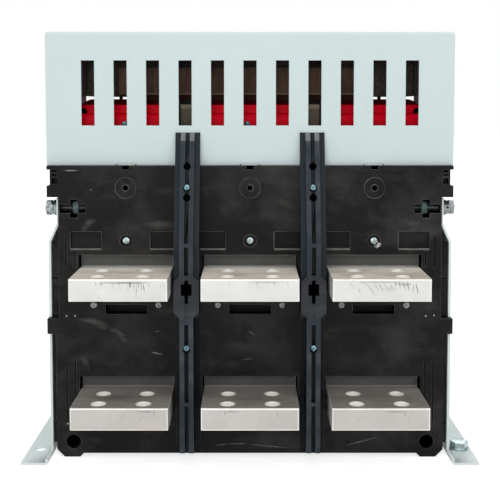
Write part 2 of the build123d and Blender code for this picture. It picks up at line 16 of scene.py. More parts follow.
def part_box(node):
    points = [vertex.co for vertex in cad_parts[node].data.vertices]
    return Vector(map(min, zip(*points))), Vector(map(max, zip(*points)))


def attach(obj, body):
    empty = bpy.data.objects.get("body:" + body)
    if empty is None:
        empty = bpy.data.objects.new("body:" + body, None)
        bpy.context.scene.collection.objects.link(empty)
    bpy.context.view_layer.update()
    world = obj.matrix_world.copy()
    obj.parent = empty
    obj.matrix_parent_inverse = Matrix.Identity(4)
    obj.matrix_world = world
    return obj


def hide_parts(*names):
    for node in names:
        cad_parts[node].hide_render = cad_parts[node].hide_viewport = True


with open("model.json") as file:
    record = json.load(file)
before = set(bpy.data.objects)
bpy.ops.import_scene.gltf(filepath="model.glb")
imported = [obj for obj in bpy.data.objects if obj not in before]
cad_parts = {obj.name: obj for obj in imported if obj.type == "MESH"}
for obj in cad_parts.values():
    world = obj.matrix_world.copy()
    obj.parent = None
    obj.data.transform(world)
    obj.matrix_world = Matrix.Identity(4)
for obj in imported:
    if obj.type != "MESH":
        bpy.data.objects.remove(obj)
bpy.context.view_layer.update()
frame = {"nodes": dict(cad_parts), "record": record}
slots = {row["node"]: row["material_slot"] for row in frame["record"]["subparts"]}
mm = 0.001

# %% [markdown]
# ## Measuring from the solids
# Bolts, screws and pins have to sit on what carries them. Instead of typing their places,
# the next cell reads the corners of the solids, so a piece follows its carrier.

# %% Faces that the small pieces sit on
housing_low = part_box("rear_housing")[0]
hood_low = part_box("vented_cover")[0]
rail_low, rail_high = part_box("barrier_rail_right")
plate_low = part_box("side_plate_right")[0]
pad_proud = 0.6 * mm
rear_face = housing_low.y + pad_proud
pole_xs = [(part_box(f"upper_terminal_{pole}")[0].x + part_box(f"upper_terminal_{pole}")[1].x) / 2
           for pole in ("left", "middle", "right")]
bar_rows = {level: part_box(f"{level}_terminal_middle") for level in ("upper", "lower")}
bar_thick = 20 * mm
pole_pitch = pole_xs[1] - pole_xs[0]
print("rear face at", rear_face, "poles at", pole_xs)

# %% [markdown]
# ## Shader maths that reads like maths
# A procedural finish is mostly arithmetic on masks. Node by node that is hard to read,
# so a small class wraps a socket and lets `1 - mask` add the Math node by itself.

# %% Sockets as numbers


class Wire:
    """One output socket that can be added to, multiplied and divided."""

    def __init__(self, graph, socket):
        self.graph = graph
        self.socket = socket

    def maths(self, operation, *values):
        inputs = dict(enumerate(values))
        return self.graph.node("ShaderNodeMath", {"operation": operation}, inputs)

    def __add__(self, other):
        return self.maths("ADD", self, other)

    def __radd__(self, other):
        return self.maths("ADD", other, self)

    def __sub__(self, other):
        return self.maths("SUBTRACT", self, other)

    def __rsub__(self, other):
        return self.maths("SUBTRACT", other, self)

    def __mul__(self, other):
        return self.maths("MULTIPLY", self, other)

    def __rmul__(self, other):
        return self.maths("MULTIPLY", other, self)

    def __truediv__(self, other):
        return self.maths("DIVIDE", self, other)

    def size(self):
        return self.maths("ABSOLUTE", self)

    def clip(self):
        return self.maths("MAXIMUM", self.maths("MINIMUM", self, 1.0), 0.0)


class Finish:
    """A material with one Principled shader, built up node by node."""

    def __init__(self, name):
        self.material = bpy.data.materials.new(name)
        self.material.use_nodes = True
        self.nodes = self.material.node_tree.nodes
        self.links = self.material.node_tree.links
        self.shader = self.nodes["Principled BSDF"]

    def node(self, kind, settings=None, inputs=None, output=0):
        made = self.nodes.new(kind)
        for key, value in (settings or {}).items():
            if key == "stops":
                ramp = made.color_ramp.elements
                for stop, (place, shade) in zip((ramp[0], ramp[1]), value):
                    stop.position = place
                    stop.color = (*shade, 1.0)
            else:
                setattr(made, key, value)
        for key, value in (inputs or {}).items():
            if isinstance(value, Wire):
                self.links.new(value.socket, made.inputs[key])
            else:
                made.inputs[key].default_value = value
        return Wire(self, made.outputs[output])

    def place(self, stretch=(1, 1, 1)):
        here = self.node("ShaderNodeTexCoord", output="Object")
        return self.node("ShaderNodeMapping", {}, {"Vector": here, "Scale": stretch})

    def axes(self):
        """The three coordinates of a point, each as a number of its own."""
        point = self.place()
        return [self.node("ShaderNodeSeparateXYZ", {}, {"Vector": point}, output=k) for k in range(3)]

    def noise(self, scale, detail=2.0, rough=0.5, stretch=(1, 1, 1)):
        return self.node("ShaderNodeTexNoise", {}, {
            "Vector": self.place(stretch), "Scale": scale, "Detail": detail, "Roughness": rough})

    def band(self, value, low, high):
        """0 below low, 1 above high, and a straight ramp between."""
        return self.node("ShaderNodeMapRange", {"clamp": True}, {
            "Value": value, "From Min": low, "From Max": high, "To Min": 0.0, "To Max": 1.0})

    def mix(self, share, first, second):
        wire = self.node("ShaderNodeMix", {"data_type": "RGBA"})
        mixer = wire.socket.node
        sockets = (mixer.inputs[0], mixer.inputs[6], mixer.inputs[7])
        for socket, value in zip(sockets, (share, first, second)):
            if isinstance(value, Wire):
                self.links.new(value.socket, socket)
            elif isinstance(value, tuple):
                socket.default_value = (*value, 1.0)
            else:
                socket.default_value = value
        return Wire(self, mixer.outputs[2])

    def facing(self, axis):
        """How far the surface faces along one axis, from its own normal."""
        normal = self.node("ShaderNodeNewGeometry", output="Normal")
        return self.node("ShaderNodeSeparateXYZ", {}, {"Vector": normal}, output="XYZ".index(axis))

    def from_pole(self, across):
        """The distance from the middle of the nearest pole."""
        return self.node("ShaderNodeMath", {"operation": "PINGPONG"}, {0: across, 1: pole_pitch / 2})

    def bump(self, height, strength, distance):
        return self.node("ShaderNodeBump", {}, {
            "Height": height, "Strength": strength, "Distance": distance})

    def finish(self, **inputs):
        for key, value in inputs.items():
            socket = self.shader.inputs[key.replace("_", " ")]
            if isinstance(value, Wire):
                self.links.new(value.socket, socket)
            elif isinstance(value, tuple):
                socket.default_value = (*value, 1.0)
            else:
                socket.default_value = value
        return self.material


def dabs(look, across, high, marks, core=0.15, ragged=1.2, grain=420.0):
    """Soft oval marks, each (x, z, half length, half width, tilt in degrees, strength), in mm."""
    sway = look.noise(grain, 3.0, 0.6)
    across = across + (sway - 0.5) * ragged * mm
    high = high + (look.noise(grain * 1.1, 3.0, 0.6) - 0.5) * ragged * mm
    total = 0.0
    for x, z, half_long, half_wide, tilt, strength in marks:
        turn = math.radians(tilt)
        side, up = (across - x * mm) / mm, (high - z * mm) / mm
        along = (side * math.cos(turn) + up * math.sin(turn)) / half_long
        off = (up * math.cos(turn) - side * math.sin(turn)) / half_wide
        total = look.band(along * along + off * off, 1.0, core) * strength + total
    return total.clip()


def srgb(red, green, blue):
    """A colour as a paint chart gives it, 0 to 255, in the linear values of a shader."""
    channels = (red, green, blue)
    return tuple(((c / 255 + 0.055) / 1.055) ** 2.4 if c > 10 else c / 255 / 12.92 for c in channels)


# %% [markdown]
# ## Black moulding
# The housing is pressed from glass-filled polyester. It is nearly black, with a fine grain,
# cloudy smudges of dust where it was handled, and a few scuffs, each placed as an oval mark
# whose edge is made ragged by noise. One long thin pale streak high on the left is a painted
# highlight, a glint. Pockets, holes, the shallow recesses and the face behind the rails are
# painted darker: painted shade.

# %% Black mouldings
recess_offset, recess_middle_z = 37 * mm, 205.5 * mm


def moulding_masks(look):
    cloud = look.noise(13.0, 6.0, 0.68)
    wipe = look.noise(30.0, 4.0, 0.6, (0.45, 1, 1.5))
    speck = look.band(look.noise(1100.0, 0.0), 0.84, 0.87)
    handled = (look.band(cloud, 0.47, 0.7) * 0.7 + look.band(wipe, 0.52, 0.72) * 0.5).clip()
    return handled, speck


def moulding(name, shade, dusty, grain=0.12, dust=0.6, specular=0.11, marks=(), pockets=None):
    look = Finish(name)
    handled, speck = moulding_masks(look)
    colour = look.mix(handled * dust, shade, dusty)
    colour = look.mix(speck * 0.3, colour, srgb(140, 138, 134))
    roughness = 0.46 + handled * 0.18
    if marks or pockets:
        across, deep, high = look.axes()
    if marks:
        rub = look.band(look.noise(160.0, 3.0, 0.65), 0.3, 0.62)
        smears = [mark for mark in marks if mark[3] > 1.5]
        scuffs = [mark for mark in marks if mark[3] <= 1.5]
        worn = dabs(look, across, high, scuffs) * (rub * 0.75 + 0.25)
        haze = look.band(look.noise(90.0, 5.0, 0.7, (0.5, 1, 1.4)), 0.38, 0.72)
        worn = (dabs(look, across, high, smears, -0.3, 12.0, 45.0) * haze * 0.95 + worn).clip()
        on_face = look.band(deep, rear_face + 2 * mm, rear_face + 1 * mm)
        colour = look.mix(worn * on_face, colour, srgb(160, 156, 150))
    if pockets:
        inside = look.band(deep, *pockets) * look.band(across.size(), 176.5 * mm, 176.0 * mm)
        inside = inside * look.band(high, 3.0 * mm, 3.5 * mm) * look.band(high, 274.2 * mm, 274.0 * mm)
        off_pole = look.from_pole(across)
        covered = look.band(off_pole, pole_pitch / 2 - 10.5 * mm, pole_pitch / 2 - 10.0 * mm)
        covered = covered * look.band(across.size(), 1.6 * pole_pitch / 2, 1.5 * pole_pitch / 2)
        recess = look.band((off_pole - recess_offset).size(), 14.3 * mm, 14.1 * mm)
        recess = recess * look.band((high - recess_middle_z).size(), 7.6 * mm, 7.4 * mm)
        # painted shade: pockets, holes, the shallow recesses and the face behind the rails are painted
        # darker
        painted_shade = (inside + covered * look.band(deep, rear_face - 0.1 * mm, rear_face) + recess * 0.6).clip()
        colour = look.mix(painted_shade * 0.8, colour, (0.0, 0.0, 0.0))
    fine = look.noise(2600.0, 2.0, 0.6)
    look.finish(Base_Color=colour, Roughness=roughness, Specular_IOR_Level=specular,
                Normal=look.bump(fine, grain, 0.1 * mm))
    return look.material


# the first mark, a long thin pale streak high on the left, is a painted highlight, a glint; the others are
# scuffs and smears
housing_scuffs_and_glint = [
    (-165.2, 270.2, 7.5, 0.7, 0, 1.0), (-149.4, 220.0, 9.0, 3.4, 38, 0.3),
    (-84.3, 220.4, 15.0, 5.0, 0, 0.3), (-145.7, 127.5, 19.0, 3.0, -14, 0.3),
    (-122.4, 116.3, 11.0, 3.2, -47, 0.32), (-86.9, 99.1, 6.5, 0.8, -12, 0.7),
    (-86.6, 119.6, 2.6, 0.6, 15, 0.6), (-154.5, 90.7, 8.0, 3.0, -65, 0.28),
    (-147.2, 252.1, 0.8, 0.8, 0, 1.0), (1.2, 118.6, 4.5, 0.9, -30, 0.3),
    (-2.5, 93.5, 6.5, 0.6, 5, 0.25), (-27.0, 12.0, 7.0, 0.5, 8, 0.5),
    (-12.0, 12.9, 9.0, 0.5, 0, 0.5), (18.0, 10.6, 22.0, 0.45, -6, 0.5),
    (104.0, 15.0, 18.0, 0.5, 15, 0.5), (120.0, 76.0, 12.0, 5.0, 80, 0.12),
    (-20.0, 236.0, 16.0, 6.0, 30, 0.12), (30.0, 240.0, 14.0, 5.0, -20, 0.14),
    (150.0, 222.0, 9.0, 4.0, 0, 0.2), (70.0, 116.0, 22.0, 7.0, 10, 0.12),
    (-90.0, 30.0, 24.0, 8.0, 0, 0.14),
]
pocket_depths = (rear_face + 2.7 * mm, rear_face + 3.3 * mm)
housing_black = moulding("housing_black", srgb(15, 15, 15), srgb(70, 69, 68), dust=0.7, marks=housing_scuffs_and_glint,
                         pockets=pocket_depths)
grey_moulding = moulding("grey_moulding", srgb(92, 95, 98), srgb(116, 118, 120), 0.08, 0.4)
panel_grey = moulding("panel_grey", srgb(52, 54, 57), srgb(66, 68, 71), 0.15, 0.4)
handle_black = moulding("handle_black", srgb(24, 24, 25), srgb(40, 40, 41), 0.18, 0.4)
fascia_grey = moulding("fascia_grey", srgb(186, 190, 190), srgb(196, 199, 198), 0.12, 0.4, 0.4)

# %% [markdown]
# ## Blue-black rails
# The rails are a different moulding, with a cold blue-black sheen. Their two ridges are rubbed
# paler. The colour is painted darker with depth behind the ridges' front: painted shade on the
# flanks, which lie lower, and near-black painted shade in the groove between the ridges. The
# upper ends of the ridges are painted pale, a painted highlight.
# How far a point lies behind the front of the ridges follows from its place, because the
# front is upright below and slopes back above.

# %% Rail finish
slope_top_z, slope_base_z, slope_run = 305 * mm, 204 * mm, 29 * mm
rail_middle = (rail_low.x + rail_high.x) / 2


def rail_moulding(name):
    look = Finish(name)
    handled, speck = moulding_masks(look)
    across, deep, high = look.axes()
    front = look.band(high, slope_base_z, slope_top_z) * slope_run + rail_low.y
    behind = deep - front
    off_middle = (across.size() - rail_middle).size()
    on_ridge = look.band(off_middle, 6.6 * mm, 6.2 * mm) * look.band(off_middle, 1.7 * mm, 2.1 * mm)
    ridge = look.mix(handled, srgb(42, 50, 56), srgb(84, 89, 94))
    # painted shade: darker with depth behind the ridges' front, near black in the groove
    colour = look.mix(look.band(behind, 1.2 * mm, 3.2 * mm), ridge, srgb(27, 34, 39))
    colour = look.mix(look.band(behind, 5.5 * mm, 6.8 * mm), colour, srgb(7, 14, 18))
    boss = look.band(high, 177.5 * mm, 176.5 * mm) * look.band(high, 137.5 * mm, 138.5 * mm)
    boss = boss * look.band(behind, 1.5 * mm, 1.0 * mm)
    colour = look.mix(boss * 0.6, colour, look.mix(handled, srgb(50, 49, 53), srgb(72, 71, 73)))
    # painted highlight on the upper ends of the ridges
    tip_highlight = look.band(high, 297.0 * mm, 298.0 * mm) * on_ridge
    colour = look.mix(tip_highlight * 0.7, colour, srgb(128, 132, 134))
    colour = look.mix(speck * 0.3, colour, srgb(140, 138, 134))
    fine = look.noise(2600.0, 2.0, 0.6)
    look.finish(Base_Color=colour, Roughness=0.4 + handled * 0.15, Specular_IOR_Level=0.12,
                Normal=look.bump(fine, 0.08, 0.1 * mm))
    return look.material


rail_black = rail_moulding("rail_black")

# %% [markdown]
# ## Pale edges: wear and painted highlight
# On black plastic the edges tell the shape: they are rubbed paler and catch the lamps. The edge
# finishes are paler than the faces beside them, partly wear and partly a painted highlight.
# The Bevel modifier can give its new faces a second material, so each edge finish is a
# plain relative of the finish beside it.

# %% Edge finishes


def worn_and_highlit_edge(name, shade, worn, roughness, metallic=0.0, specular=0.4):
    look = Finish(name)
    rub = look.noise(60.0, 4.0, 0.6)
    fine = look.noise(1800.0, 2.0, 0.5)
    colour = look.mix(look.band(rub, 0.35, 0.65), shade, worn)
    look.finish(Base_Color=colour, Roughness=roughness + rub * 0.15, Metallic=metallic,
                Specular_IOR_Level=specular, Normal=look.bump(fine, 0.1, 0.05 * mm))
    return look.material


# painted highlight with wear: edge finishes paler than the body they round off, with rubbed patches
housing_edge = worn_and_highlit_edge("housing_edge", srgb(52, 51, 50), srgb(118, 116, 112), 0.34)
rail_edge = worn_and_highlit_edge("rail_edge", srgb(50, 56, 62), srgb(86, 92, 98), 0.32)

# %% [markdown]
# ## Powder coat
# The hood and the side plates are folded steel with a pale grey-green powder coat.
# Powder melts into a faint orange peel, so the bump is a soft noise a millimetre or two wide.
# Rubbed places show as a slightly warmer, rougher coat, and only on the side plates,
# which are handled, while the hood is clean.

# %% Pale powder coat


def powder_coat(name, shade, shaded, wear):
    look = Finish(name)
    peel = look.noise(620.0, 1.0, 0.4)
    cloud = look.noise(7.0, 4.0, 0.6)
    rub = look.noise(26.0, 4.0, 0.6, (1, 1, 0.35))
    mark = look.band(rub, 0.6, 0.78) * wear
    colour = look.mix(look.band(cloud, 0.35, 0.75) * 0.6, shade, shaded)
    colour = look.mix(mark * 0.35, colour, srgb(150, 152, 148))
    roughness = 0.42 + mark * 0.2 + cloud * 0.08
    look.finish(Base_Color=colour, Roughness=roughness, Specular_IOR_Level=0.3,
                Normal=look.bump(peel, 0.1, 0.2 * mm))
    return look.material


hood_paint = powder_coat("hood_paint", srgb(204, 219, 219), srgb(200, 215, 214), 0.0)
plate_paint = powder_coat("plate_paint", srgb(222, 233, 232), srgb(208, 218, 216), 1.0)

# %% [markdown]
# ## Plated terminal bars
# The bars are copper under a thin coat of silver. Their ends are sawn and rubbed bright, with
# dark scratches that run down from the top edge where cables were dragged over it, and a blush
# of copper along the lower edge. The tops are duller, with their back part painted lighter, a
# painted highlight. The upstand behind them is painted dark grey and not metallic, painted shade
# on the same metal, and the walls of the holes are painted bright cream, painted light. The lower
# bars get a darker copy of the finish, painted shade under the upper row, darkest on their tops.
# The masks read the surface's own normal and its place, so that one material does all sides.

# %% Plated bars
bar_front_y = bar_rows["upper"][0].y
hole_half_x, hole_half_y, hole_middle = 20 * mm, 15 * mm, 28 * mm
hole_reach = 7.0 * mm


def plated_bar(name, edge_z, front, top, marks, blush):
    """Marks are given by their depth under the top edge instead of their height."""
    look = Finish(name)
    across, deep, high = look.axes()
    rearward = look.band(look.facing("Y") * -1.0, 0.6, 0.9)
    is_end = rearward * look.band(deep, bar_front_y + 6 * mm, bar_front_y + 4 * mm)
    is_upstand = rearward * look.band(high, edge_z + 0.3 * mm, edge_z + 0.8 * mm)
    is_top = look.band(look.facing("Z"), 0.6, 0.9)
    under = edge_z - high
    saw = look.noise(700.0, 2.0, 0.5, (0.06, 1, 1))
    drawn = look.noise(240.0, 3.0, 0.6, (0.15, 1, 1))
    tarnish = look.noise(34.0, 4.0, 0.6)
    patch = look.noise(42.0, 5.0, 0.7, (0.6, 1, 1))
    placed = [(x, edge_z / mm - drop, *rest) for x, drop, *rest in marks]
    grain = look.band(look.noise(650.0, 2.0, 0.6), 0.3, 0.55)
    streak = dabs(look, across, high, placed) * (grain * 0.6 + 0.4)
    nick = look.band(look.noise(520.0, 3.0, 0.6), 0.62, 0.68) * look.band(under, 3.5 * mm, 1.5 * mm)
    mark = ((streak * 1.5 + nick * 0.45) * is_end).clip()
    column = look.from_pole(across) - hole_half_x
    row = (deep - bar_front_y - hole_middle).size() - hole_half_y
    # painted light: the walls of the holes are painted bright cream
    hole_wall_light = look.band(column * column + row * row, hole_reach ** 2, (hole_reach - 0.1 * mm) ** 2)
    hole_wall_light = hole_wall_light * look.band(look.facing("Z"), 0.4, 0.2)
    hole_wall_light = hole_wall_light * look.band(deep, bar_front_y + 4 * mm, bar_front_y + 5 * mm)
    smears = [(x, bar_front_y / mm + back, *rest) for x, back, *rest in top_smears]
    smear = dabs(look, across, deep, smears, 0.0, 4.0, 70.0)
    smear = smear * look.band(look.noise(120.0, 4.0, 0.65, (0.3, 1, 1)), 0.35, 0.6)
    foot_line = look.band(under, bar_thick - 2.6 * mm, bar_thick - 0.6 * mm)
    copper = foot_line * look.band(patch, 0.35, 0.6) * rearward
    colour = look.mix(look.band(tarnish, 0.35, 0.7), front, tuple(0.88 * c for c in front))
    colour = look.mix(copper * blush, colour, srgb(196, 146, 122))
    top_wear_and_light = look.mix(look.band(patch, 0.46, 0.66), top, tuple(0.62 * c for c in top))
    top_wear_and_light = look.mix(look.band(drawn, 0.45, 0.7) * 0.3, top_wear_and_light, tuple(1.35 * c for c in top))
    # painted light: the back part of the top is painted up to 1.6 times lighter
    far = look.band(deep, bar_front_y + 35 * mm, bar_front_y + 70 * mm)
    top_wear_and_light = look.mix(far * 0.8, top_wear_and_light, tuple(min(1.0, 1.6 * c) for c in top))
    top_wear_and_light = look.mix(smear * 0.75, top_wear_and_light, tuple(0.3 * c for c in top))
    colour = look.mix(is_top, colour, top_wear_and_light)
    # painted shade: the upstand, the same metal, is painted dull grey and not metallic
    upstand_shade = look.mix(look.band(patch, 0.4, 0.7), srgb(70, 70, 70), srgb(86, 86, 86))
    colour = look.mix(is_upstand, colour, upstand_shade)
    colour = look.mix(mark * 0.95, colour, srgb(52, 49, 47))
    colour = look.mix(hole_wall_light, colour, srgb(255, 252, 246))
    look.finish(Base_Color=colour, Roughness=0.45 + is_top * 0.1 + saw * 0.08 + is_upstand * 0.15,
                Metallic=((hole_wall_light + is_upstand) * -0.45 + 0.45 - is_top * 0.2).clip(),
                Normal=look.bump(saw + mark * 0.5, 0.16, 0.08 * mm))
    return look.material


# %% [markdown]
# The scratches are the bars' own history, so each is placed one by one: its distance from the
# middle, its depth under the top edge, its half length and half width, its tilt and strength.

# %% Terminal finishes
top_smears = [
    (10.0, 27.0, 34.0, 2.2, 0, 0.8), (-24.0, 36.0, 22.0, 1.4, 0, 0.5), (34.0, 14.0, 14.0, 1.2, 0, 0.4),
    (-118.0, 30.0, 16.0, 2.0, 0, 0.35), (-86.0, 12.0, 12.0, 1.2, 0, 0.3), (-92.0, 44.0, 26.0, 2.4, 0, 0.4),
    (122.0, 33.0, 26.0, 1.8, 0, 0.45), (96.0, 20.0, 14.0, 1.2, 0, 0.35), (4.0, 52.0, 30.0, 3.0, 0, 0.45),
    (118.0, 50.0, 30.0, 3.0, 0, 0.4),
]
upper_marks = [
    (-104.2, 5.3, 2.6, 0.9, 90, 0.7), (-98.9, 10.2, 7.6, 0.35, 88, 0.5), (-92.3, 7.5, 4.5, 0.4, -78, 0.7),
    (-97.2, 5.3, 2.6, 0.35, 90, 0.5), (-106.1, 7.5, 4.5, 0.3, 90, 0.35), (-129.3, 4.2, 1.8, 1.2, 90, 0.4),
    (-134.0, 3.8, 1.6, 0.6, 90, 0.5), (-131.5, 15.7, 2.6, 0.3, 90, 0.35), (-77.7, 6.3, 3.6, 0.35, 90, 0.3),
    (-75.0, 6.3, 3.6, 0.35, 90, 0.25), (-109.2, 3.2, 25.5, 1.0, 0, 0.45),
    (14.0, 2.8, 20.0, 0.8, 0, 0.3), (6.0, 4.4, 2.2, 0.4, 80, 0.4), (21.0, 4.2, 1.8, 0.5, 90, 0.4),
    (33.0, 5.0, 2.6, 0.35, -80, 0.35), (-18.0, 4.0, 1.8, 0.4, 90, 0.25),
    (105.0, 8.9, 8.1, 0.35, -55, 0.6), (114.1, 7.4, 5.6, 0.35, -58, 0.6), (145.2, 8.2, 5.7, 0.45, -77, 0.75),
    (142.0, 8.0, 5.5, 0.5, -97, 0.4), (87.8, 4.6, 3.4, 0.45, -55, 0.35), (95.1, 10.4, 3.8, 0.35, -66, 0.45),
    (99.0, 4.0, 5.0, 0.35, -28, 0.4), (126.9, 3.7, 1.6, 0.6, 90, 0.5), (134.0, 4.4, 8.0, 1.6, 0, 0.3),
    (112.0, 2.6, 24.0, 0.8, 0, 0.3), (123.0, 8.6, 6.0, 2.6, 0, 0.12),
    (126.0, 4.6, 3.8, 0.3, -75, 0.6), (130.0, 5.0, 4.2, 0.3, -80, 0.7), (134.0, 5.6, 4.8, 0.35, -72, 0.7),
    (137.5, 6.0, 5.2, 0.35, -78, 0.7), (110.0, 6.6, 5.2, 0.3, -57, 0.5), (118.0, 6.2, 4.8, 0.3, -60, 0.5),
    (122.5, 5.6, 4.2, 0.3, -65, 0.5), (-101.0, 6.0, 4.2, 0.3, 90, 0.5), (-94.5, 6.2, 4.8, 0.3, -82, 0.6),
    (-88.0, 5.6, 3.4, 0.3, -85, 0.5), (-113.0, 5.6, 3.2, 0.3, 90, 0.4), (-119.0, 5.0, 2.8, 0.3, 90, 0.35),
]
lower_marks = [
    (-84.0, 4.0, 3.0, 0.5, 85, 0.35), (-92.0, 3.0, 9.0, 0.8, 0, 0.3), (-22.0, 4.0, 2.6, 0.5, 90, 0.4),
    (-16.0, 3.0, 8.0, 0.9, 0, 0.3), (24.0, 6.0, 3.4, 0.4, -70, 0.3), (128.0, 3.0, 12.0, 0.8, 0, 0.3),
    (136.0, 5.0, 2.4, 0.5, 90, 0.4), (-112.0, 8.0, 6.0, 0.3, 62, 0.3), (-96.0, 10.0, 7.0, 0.3, 58, 0.25),
    (96.0, 9.0, 7.0, 0.3, 60, 0.3), (112.0, 10.0, 6.0, 0.3, -62, 0.25), (140.0, 9.0, 6.0, 0.3, 64, 0.3),
    (-20.0, 11.0, 7.0, 0.3, 60, 0.25), (10.0, 9.0, 6.0, 0.3, 63, 0.25),
]
upper_edge_z = bar_rows["upper"][0].z + bar_thick
lower_edge_z = bar_rows["lower"][0].z + bar_thick
bar_finishes = {
    "upper": plated_bar("bar_upper", upper_edge_z, srgb(210, 210, 206), srgb(214, 204, 192),
                        upper_marks, 0.3),
    # painted shade: the lower bars get a darker copy of the finish, most of all on their tops
    "lower": plated_bar("bar_lower_shaded", lower_edge_z, srgb(187, 184, 180), srgb(142, 137, 131),
                        lower_marks, 0.8),
}
# painted highlight: the pale grey of the ledges under the recesses
ledge_highlight_grey = worn_and_highlit_edge("ledge_highlight_grey", srgb(60, 59, 57), srgb(104, 102, 98), 0.45)
lip_dark = worn_and_highlit_edge("lip_dark", srgb(30, 30, 30), srgb(84, 83, 80), 0.4, 0.0, 0.25)
bar_edge = worn_and_highlit_edge("bar_edge", srgb(240, 238, 234), srgb(222, 218, 212), 0.3, 0.5)

# %% [markdown]
# ## Zinc, steel, red moulding and fibre board
# Plated fasteners have a cold, slightly blue-green blush and soft highlights.
# The arc-chute caps are glossy red polyester, whose up-facing slopes are painted dark red,
# painted shade under the hood. The boards are pressed fibre whose layers show as fine streaks,
# with a pale line painted along an edge, a painted highlight, and a darker colour below it,
# painted shade.

# %% Small-part finishes


def zinc_plate(name, shade, blush, roughness, metallic=0.9):
    look = Finish(name)
    patch = look.noise(300.0, 3.0, 0.6)
    fine = look.noise(2400.0, 2.0, 0.5)
    colour = look.mix(look.band(patch, 0.35, 0.65), shade, blush)
    look.finish(Base_Color=colour, Metallic=metallic, Roughness=roughness + patch * 0.15,
                Normal=look.bump(fine, 0.1, 0.05 * mm))
    return look.material


def gloss_moulding(name, shade, deep, roughness=0.18, specular=0.25, shaded_top=None):
    """Where a shade colour is given, what faces up above a set height is painted darker with it: painted
    shade.
    """
    look = Finish(name)
    cloud = look.noise(25.0, 3.0, 0.5)
    fine = look.noise(900.0, 2.0, 0.5)
    colour = look.mix(look.band(cloud, 0.35, 0.7), shade, deep)
    if shaded_top:
        high = look.axes()[2]
        raised = look.band(high, top_shade_z, top_shade_z + 1.5 * mm)
        colour = look.mix(look.band(look.facing("Z"), 0.25, 0.6) * raised, colour, shaded_top)
    look.finish(Base_Color=colour, Roughness=roughness + cloud * 0.08, Specular_IOR_Level=specular,
                Normal=look.bump(fine, 0.05, 0.1 * mm))
    return look.material


def fibre_board(name, shade, deep, shaded_below=None, shade_edge_z=0.0, line=0.9 * mm):
    """Where a shade colour is given, the colour below a set height is painted darker, painted shade, and a
    pale line at that height is a painted highlight along the edge.
    """
    look = Finish(name)
    layers = look.noise(420.0, 3.0, 0.6, (1, 1, 0.12))
    cloud = look.noise(18.0, 3.0, 0.5)
    colour = look.mix(look.band(layers, 0.35, 0.65) * 0.6 + look.band(cloud, 0.4, 0.7) * 0.4, shade, deep)
    if shaded_below:
        high = look.axes()[2]
        pale = look.band((high - shade_edge_z).size(), line, line * 0.4)
        colour = look.mix(pale * 0.7, colour, srgb(122, 116, 98))
        colour = look.mix(look.band(high, shade_edge_z - line * 0.5, shade_edge_z - line), colour, shaded_below)
    look.finish(Base_Color=colour, Roughness=0.75 + cloud * 0.1, Specular_IOR_Level=0.1,
                Normal=look.bump(layers, 0.25, 0.2 * mm))
    return look.material


zinc = zinc_plate("zinc", srgb(196, 208, 208), srgb(128, 148, 150), 0.24)
bolt_zinc = zinc_plate("bolt_zinc", srgb(150, 156, 156), srgb(92, 98, 100), 0.26)
swarf_steel = zinc_plate("swarf_steel", srgb(206, 210, 210), srgb(178, 184, 186), 0.35, 0.4)
nut_zinc = zinc_plate("nut_zinc", srgb(150, 172, 172), srgb(108, 132, 134), 0.3, 0.35)
dull_zinc = zinc_plate("dull_zinc", srgb(146, 148, 144), srgb(112, 113, 110), 0.42)
blue_zinc = zinc_plate("blue_zinc", srgb(116, 148, 156), srgb(58, 88, 98), 0.26)
splitter_steel = zinc_plate("splitter_steel", srgb(62, 56, 50), srgb(44, 40, 36), 0.5)
top_shade_z = 329.5 * mm
# painted shade: the up-facing slopes of the caps are painted dark red
red_cap = gloss_moulding("red_cap", srgb(232, 0, 36), srgb(206, 0, 28), 0.2, 0.04, srgb(70, 12, 14))
green_gloss = gloss_moulding("green_gloss", srgb(24, 130, 74), srgb(18, 112, 62), 0.3)
red_gloss = gloss_moulding("red_gloss", srgb(190, 26, 30), srgb(168, 20, 24), 0.3)
cream_lens = gloss_moulding("cream_lens", srgb(224, 220, 192), srgb(214, 210, 184), 0.1)
screen_glass = gloss_moulding("screen_glass", srgb(60, 74, 66), srgb(52, 66, 58), 0.06)
# painted highlight along an edge of the boards and strips, painted shade below it
board_shade_z, strip_shade_z = 341.0 * mm, 329.0 * mm
brown_fibre = fibre_board("brown_fibre", srgb(96, 78, 66), srgb(62, 46, 38), srgb(44, 22, 18), board_shade_z)
strip_fibre = fibre_board("strip_fibre", srgb(86, 80, 70), srgb(66, 60, 50), srgb(80, 75, 66),
                          strip_shade_z, 3.0 * mm)
# painted shade: a black finish that stands for the dark inside ports and holes
shade_black = moulding("shade_black", srgb(4, 4, 4), srgb(8, 8, 8), 0.05, 0.3, 0.0)

# %% [markdown]
# ## Finishes on the solids
# Each solid already has the right shape, so it only needs its finish. A dictionary from the
# record's slots to the materials keeps the two in step.

# %% Dress the solids
finishes = {
    "black_moulding": housing_black,
    "blue_black_moulding": rail_black,
    "pale_painted_sheet": hood_paint,
    "pale_painted_plate": plate_paint,
    "red_moulding": red_cap,
    "zinc_steel": splitter_steel,
    "brown_board": brown_fibre,
    "grey_moulding": grey_moulding,
    "light_grey_moulding": fascia_grey,
    "dark_grey_moulding": panel_grey,
    "green_button": green_gloss,
    "red_button": red_gloss,
    "window_lens": cream_lens,
    "black_handle": handle_black,
}
edge_finishes = {"black_moulding": housing_edge, "blue_black_moulding": rail_edge, "plated_copper": bar_edge}


def finish_of(node):
    if node.startswith("phase_barrier"):
        return strip_fibre
    if slots[node] == "plated_copper":
        return bar_finishes[node.split("_")[0]]
    return finishes[slots[node]]


for node, solid in frame["nodes"].items():
    solid.data.materials.clear()
    solid.data.materials.append(finish_of(node))
print("dressed", len(frame["nodes"]), "solids")

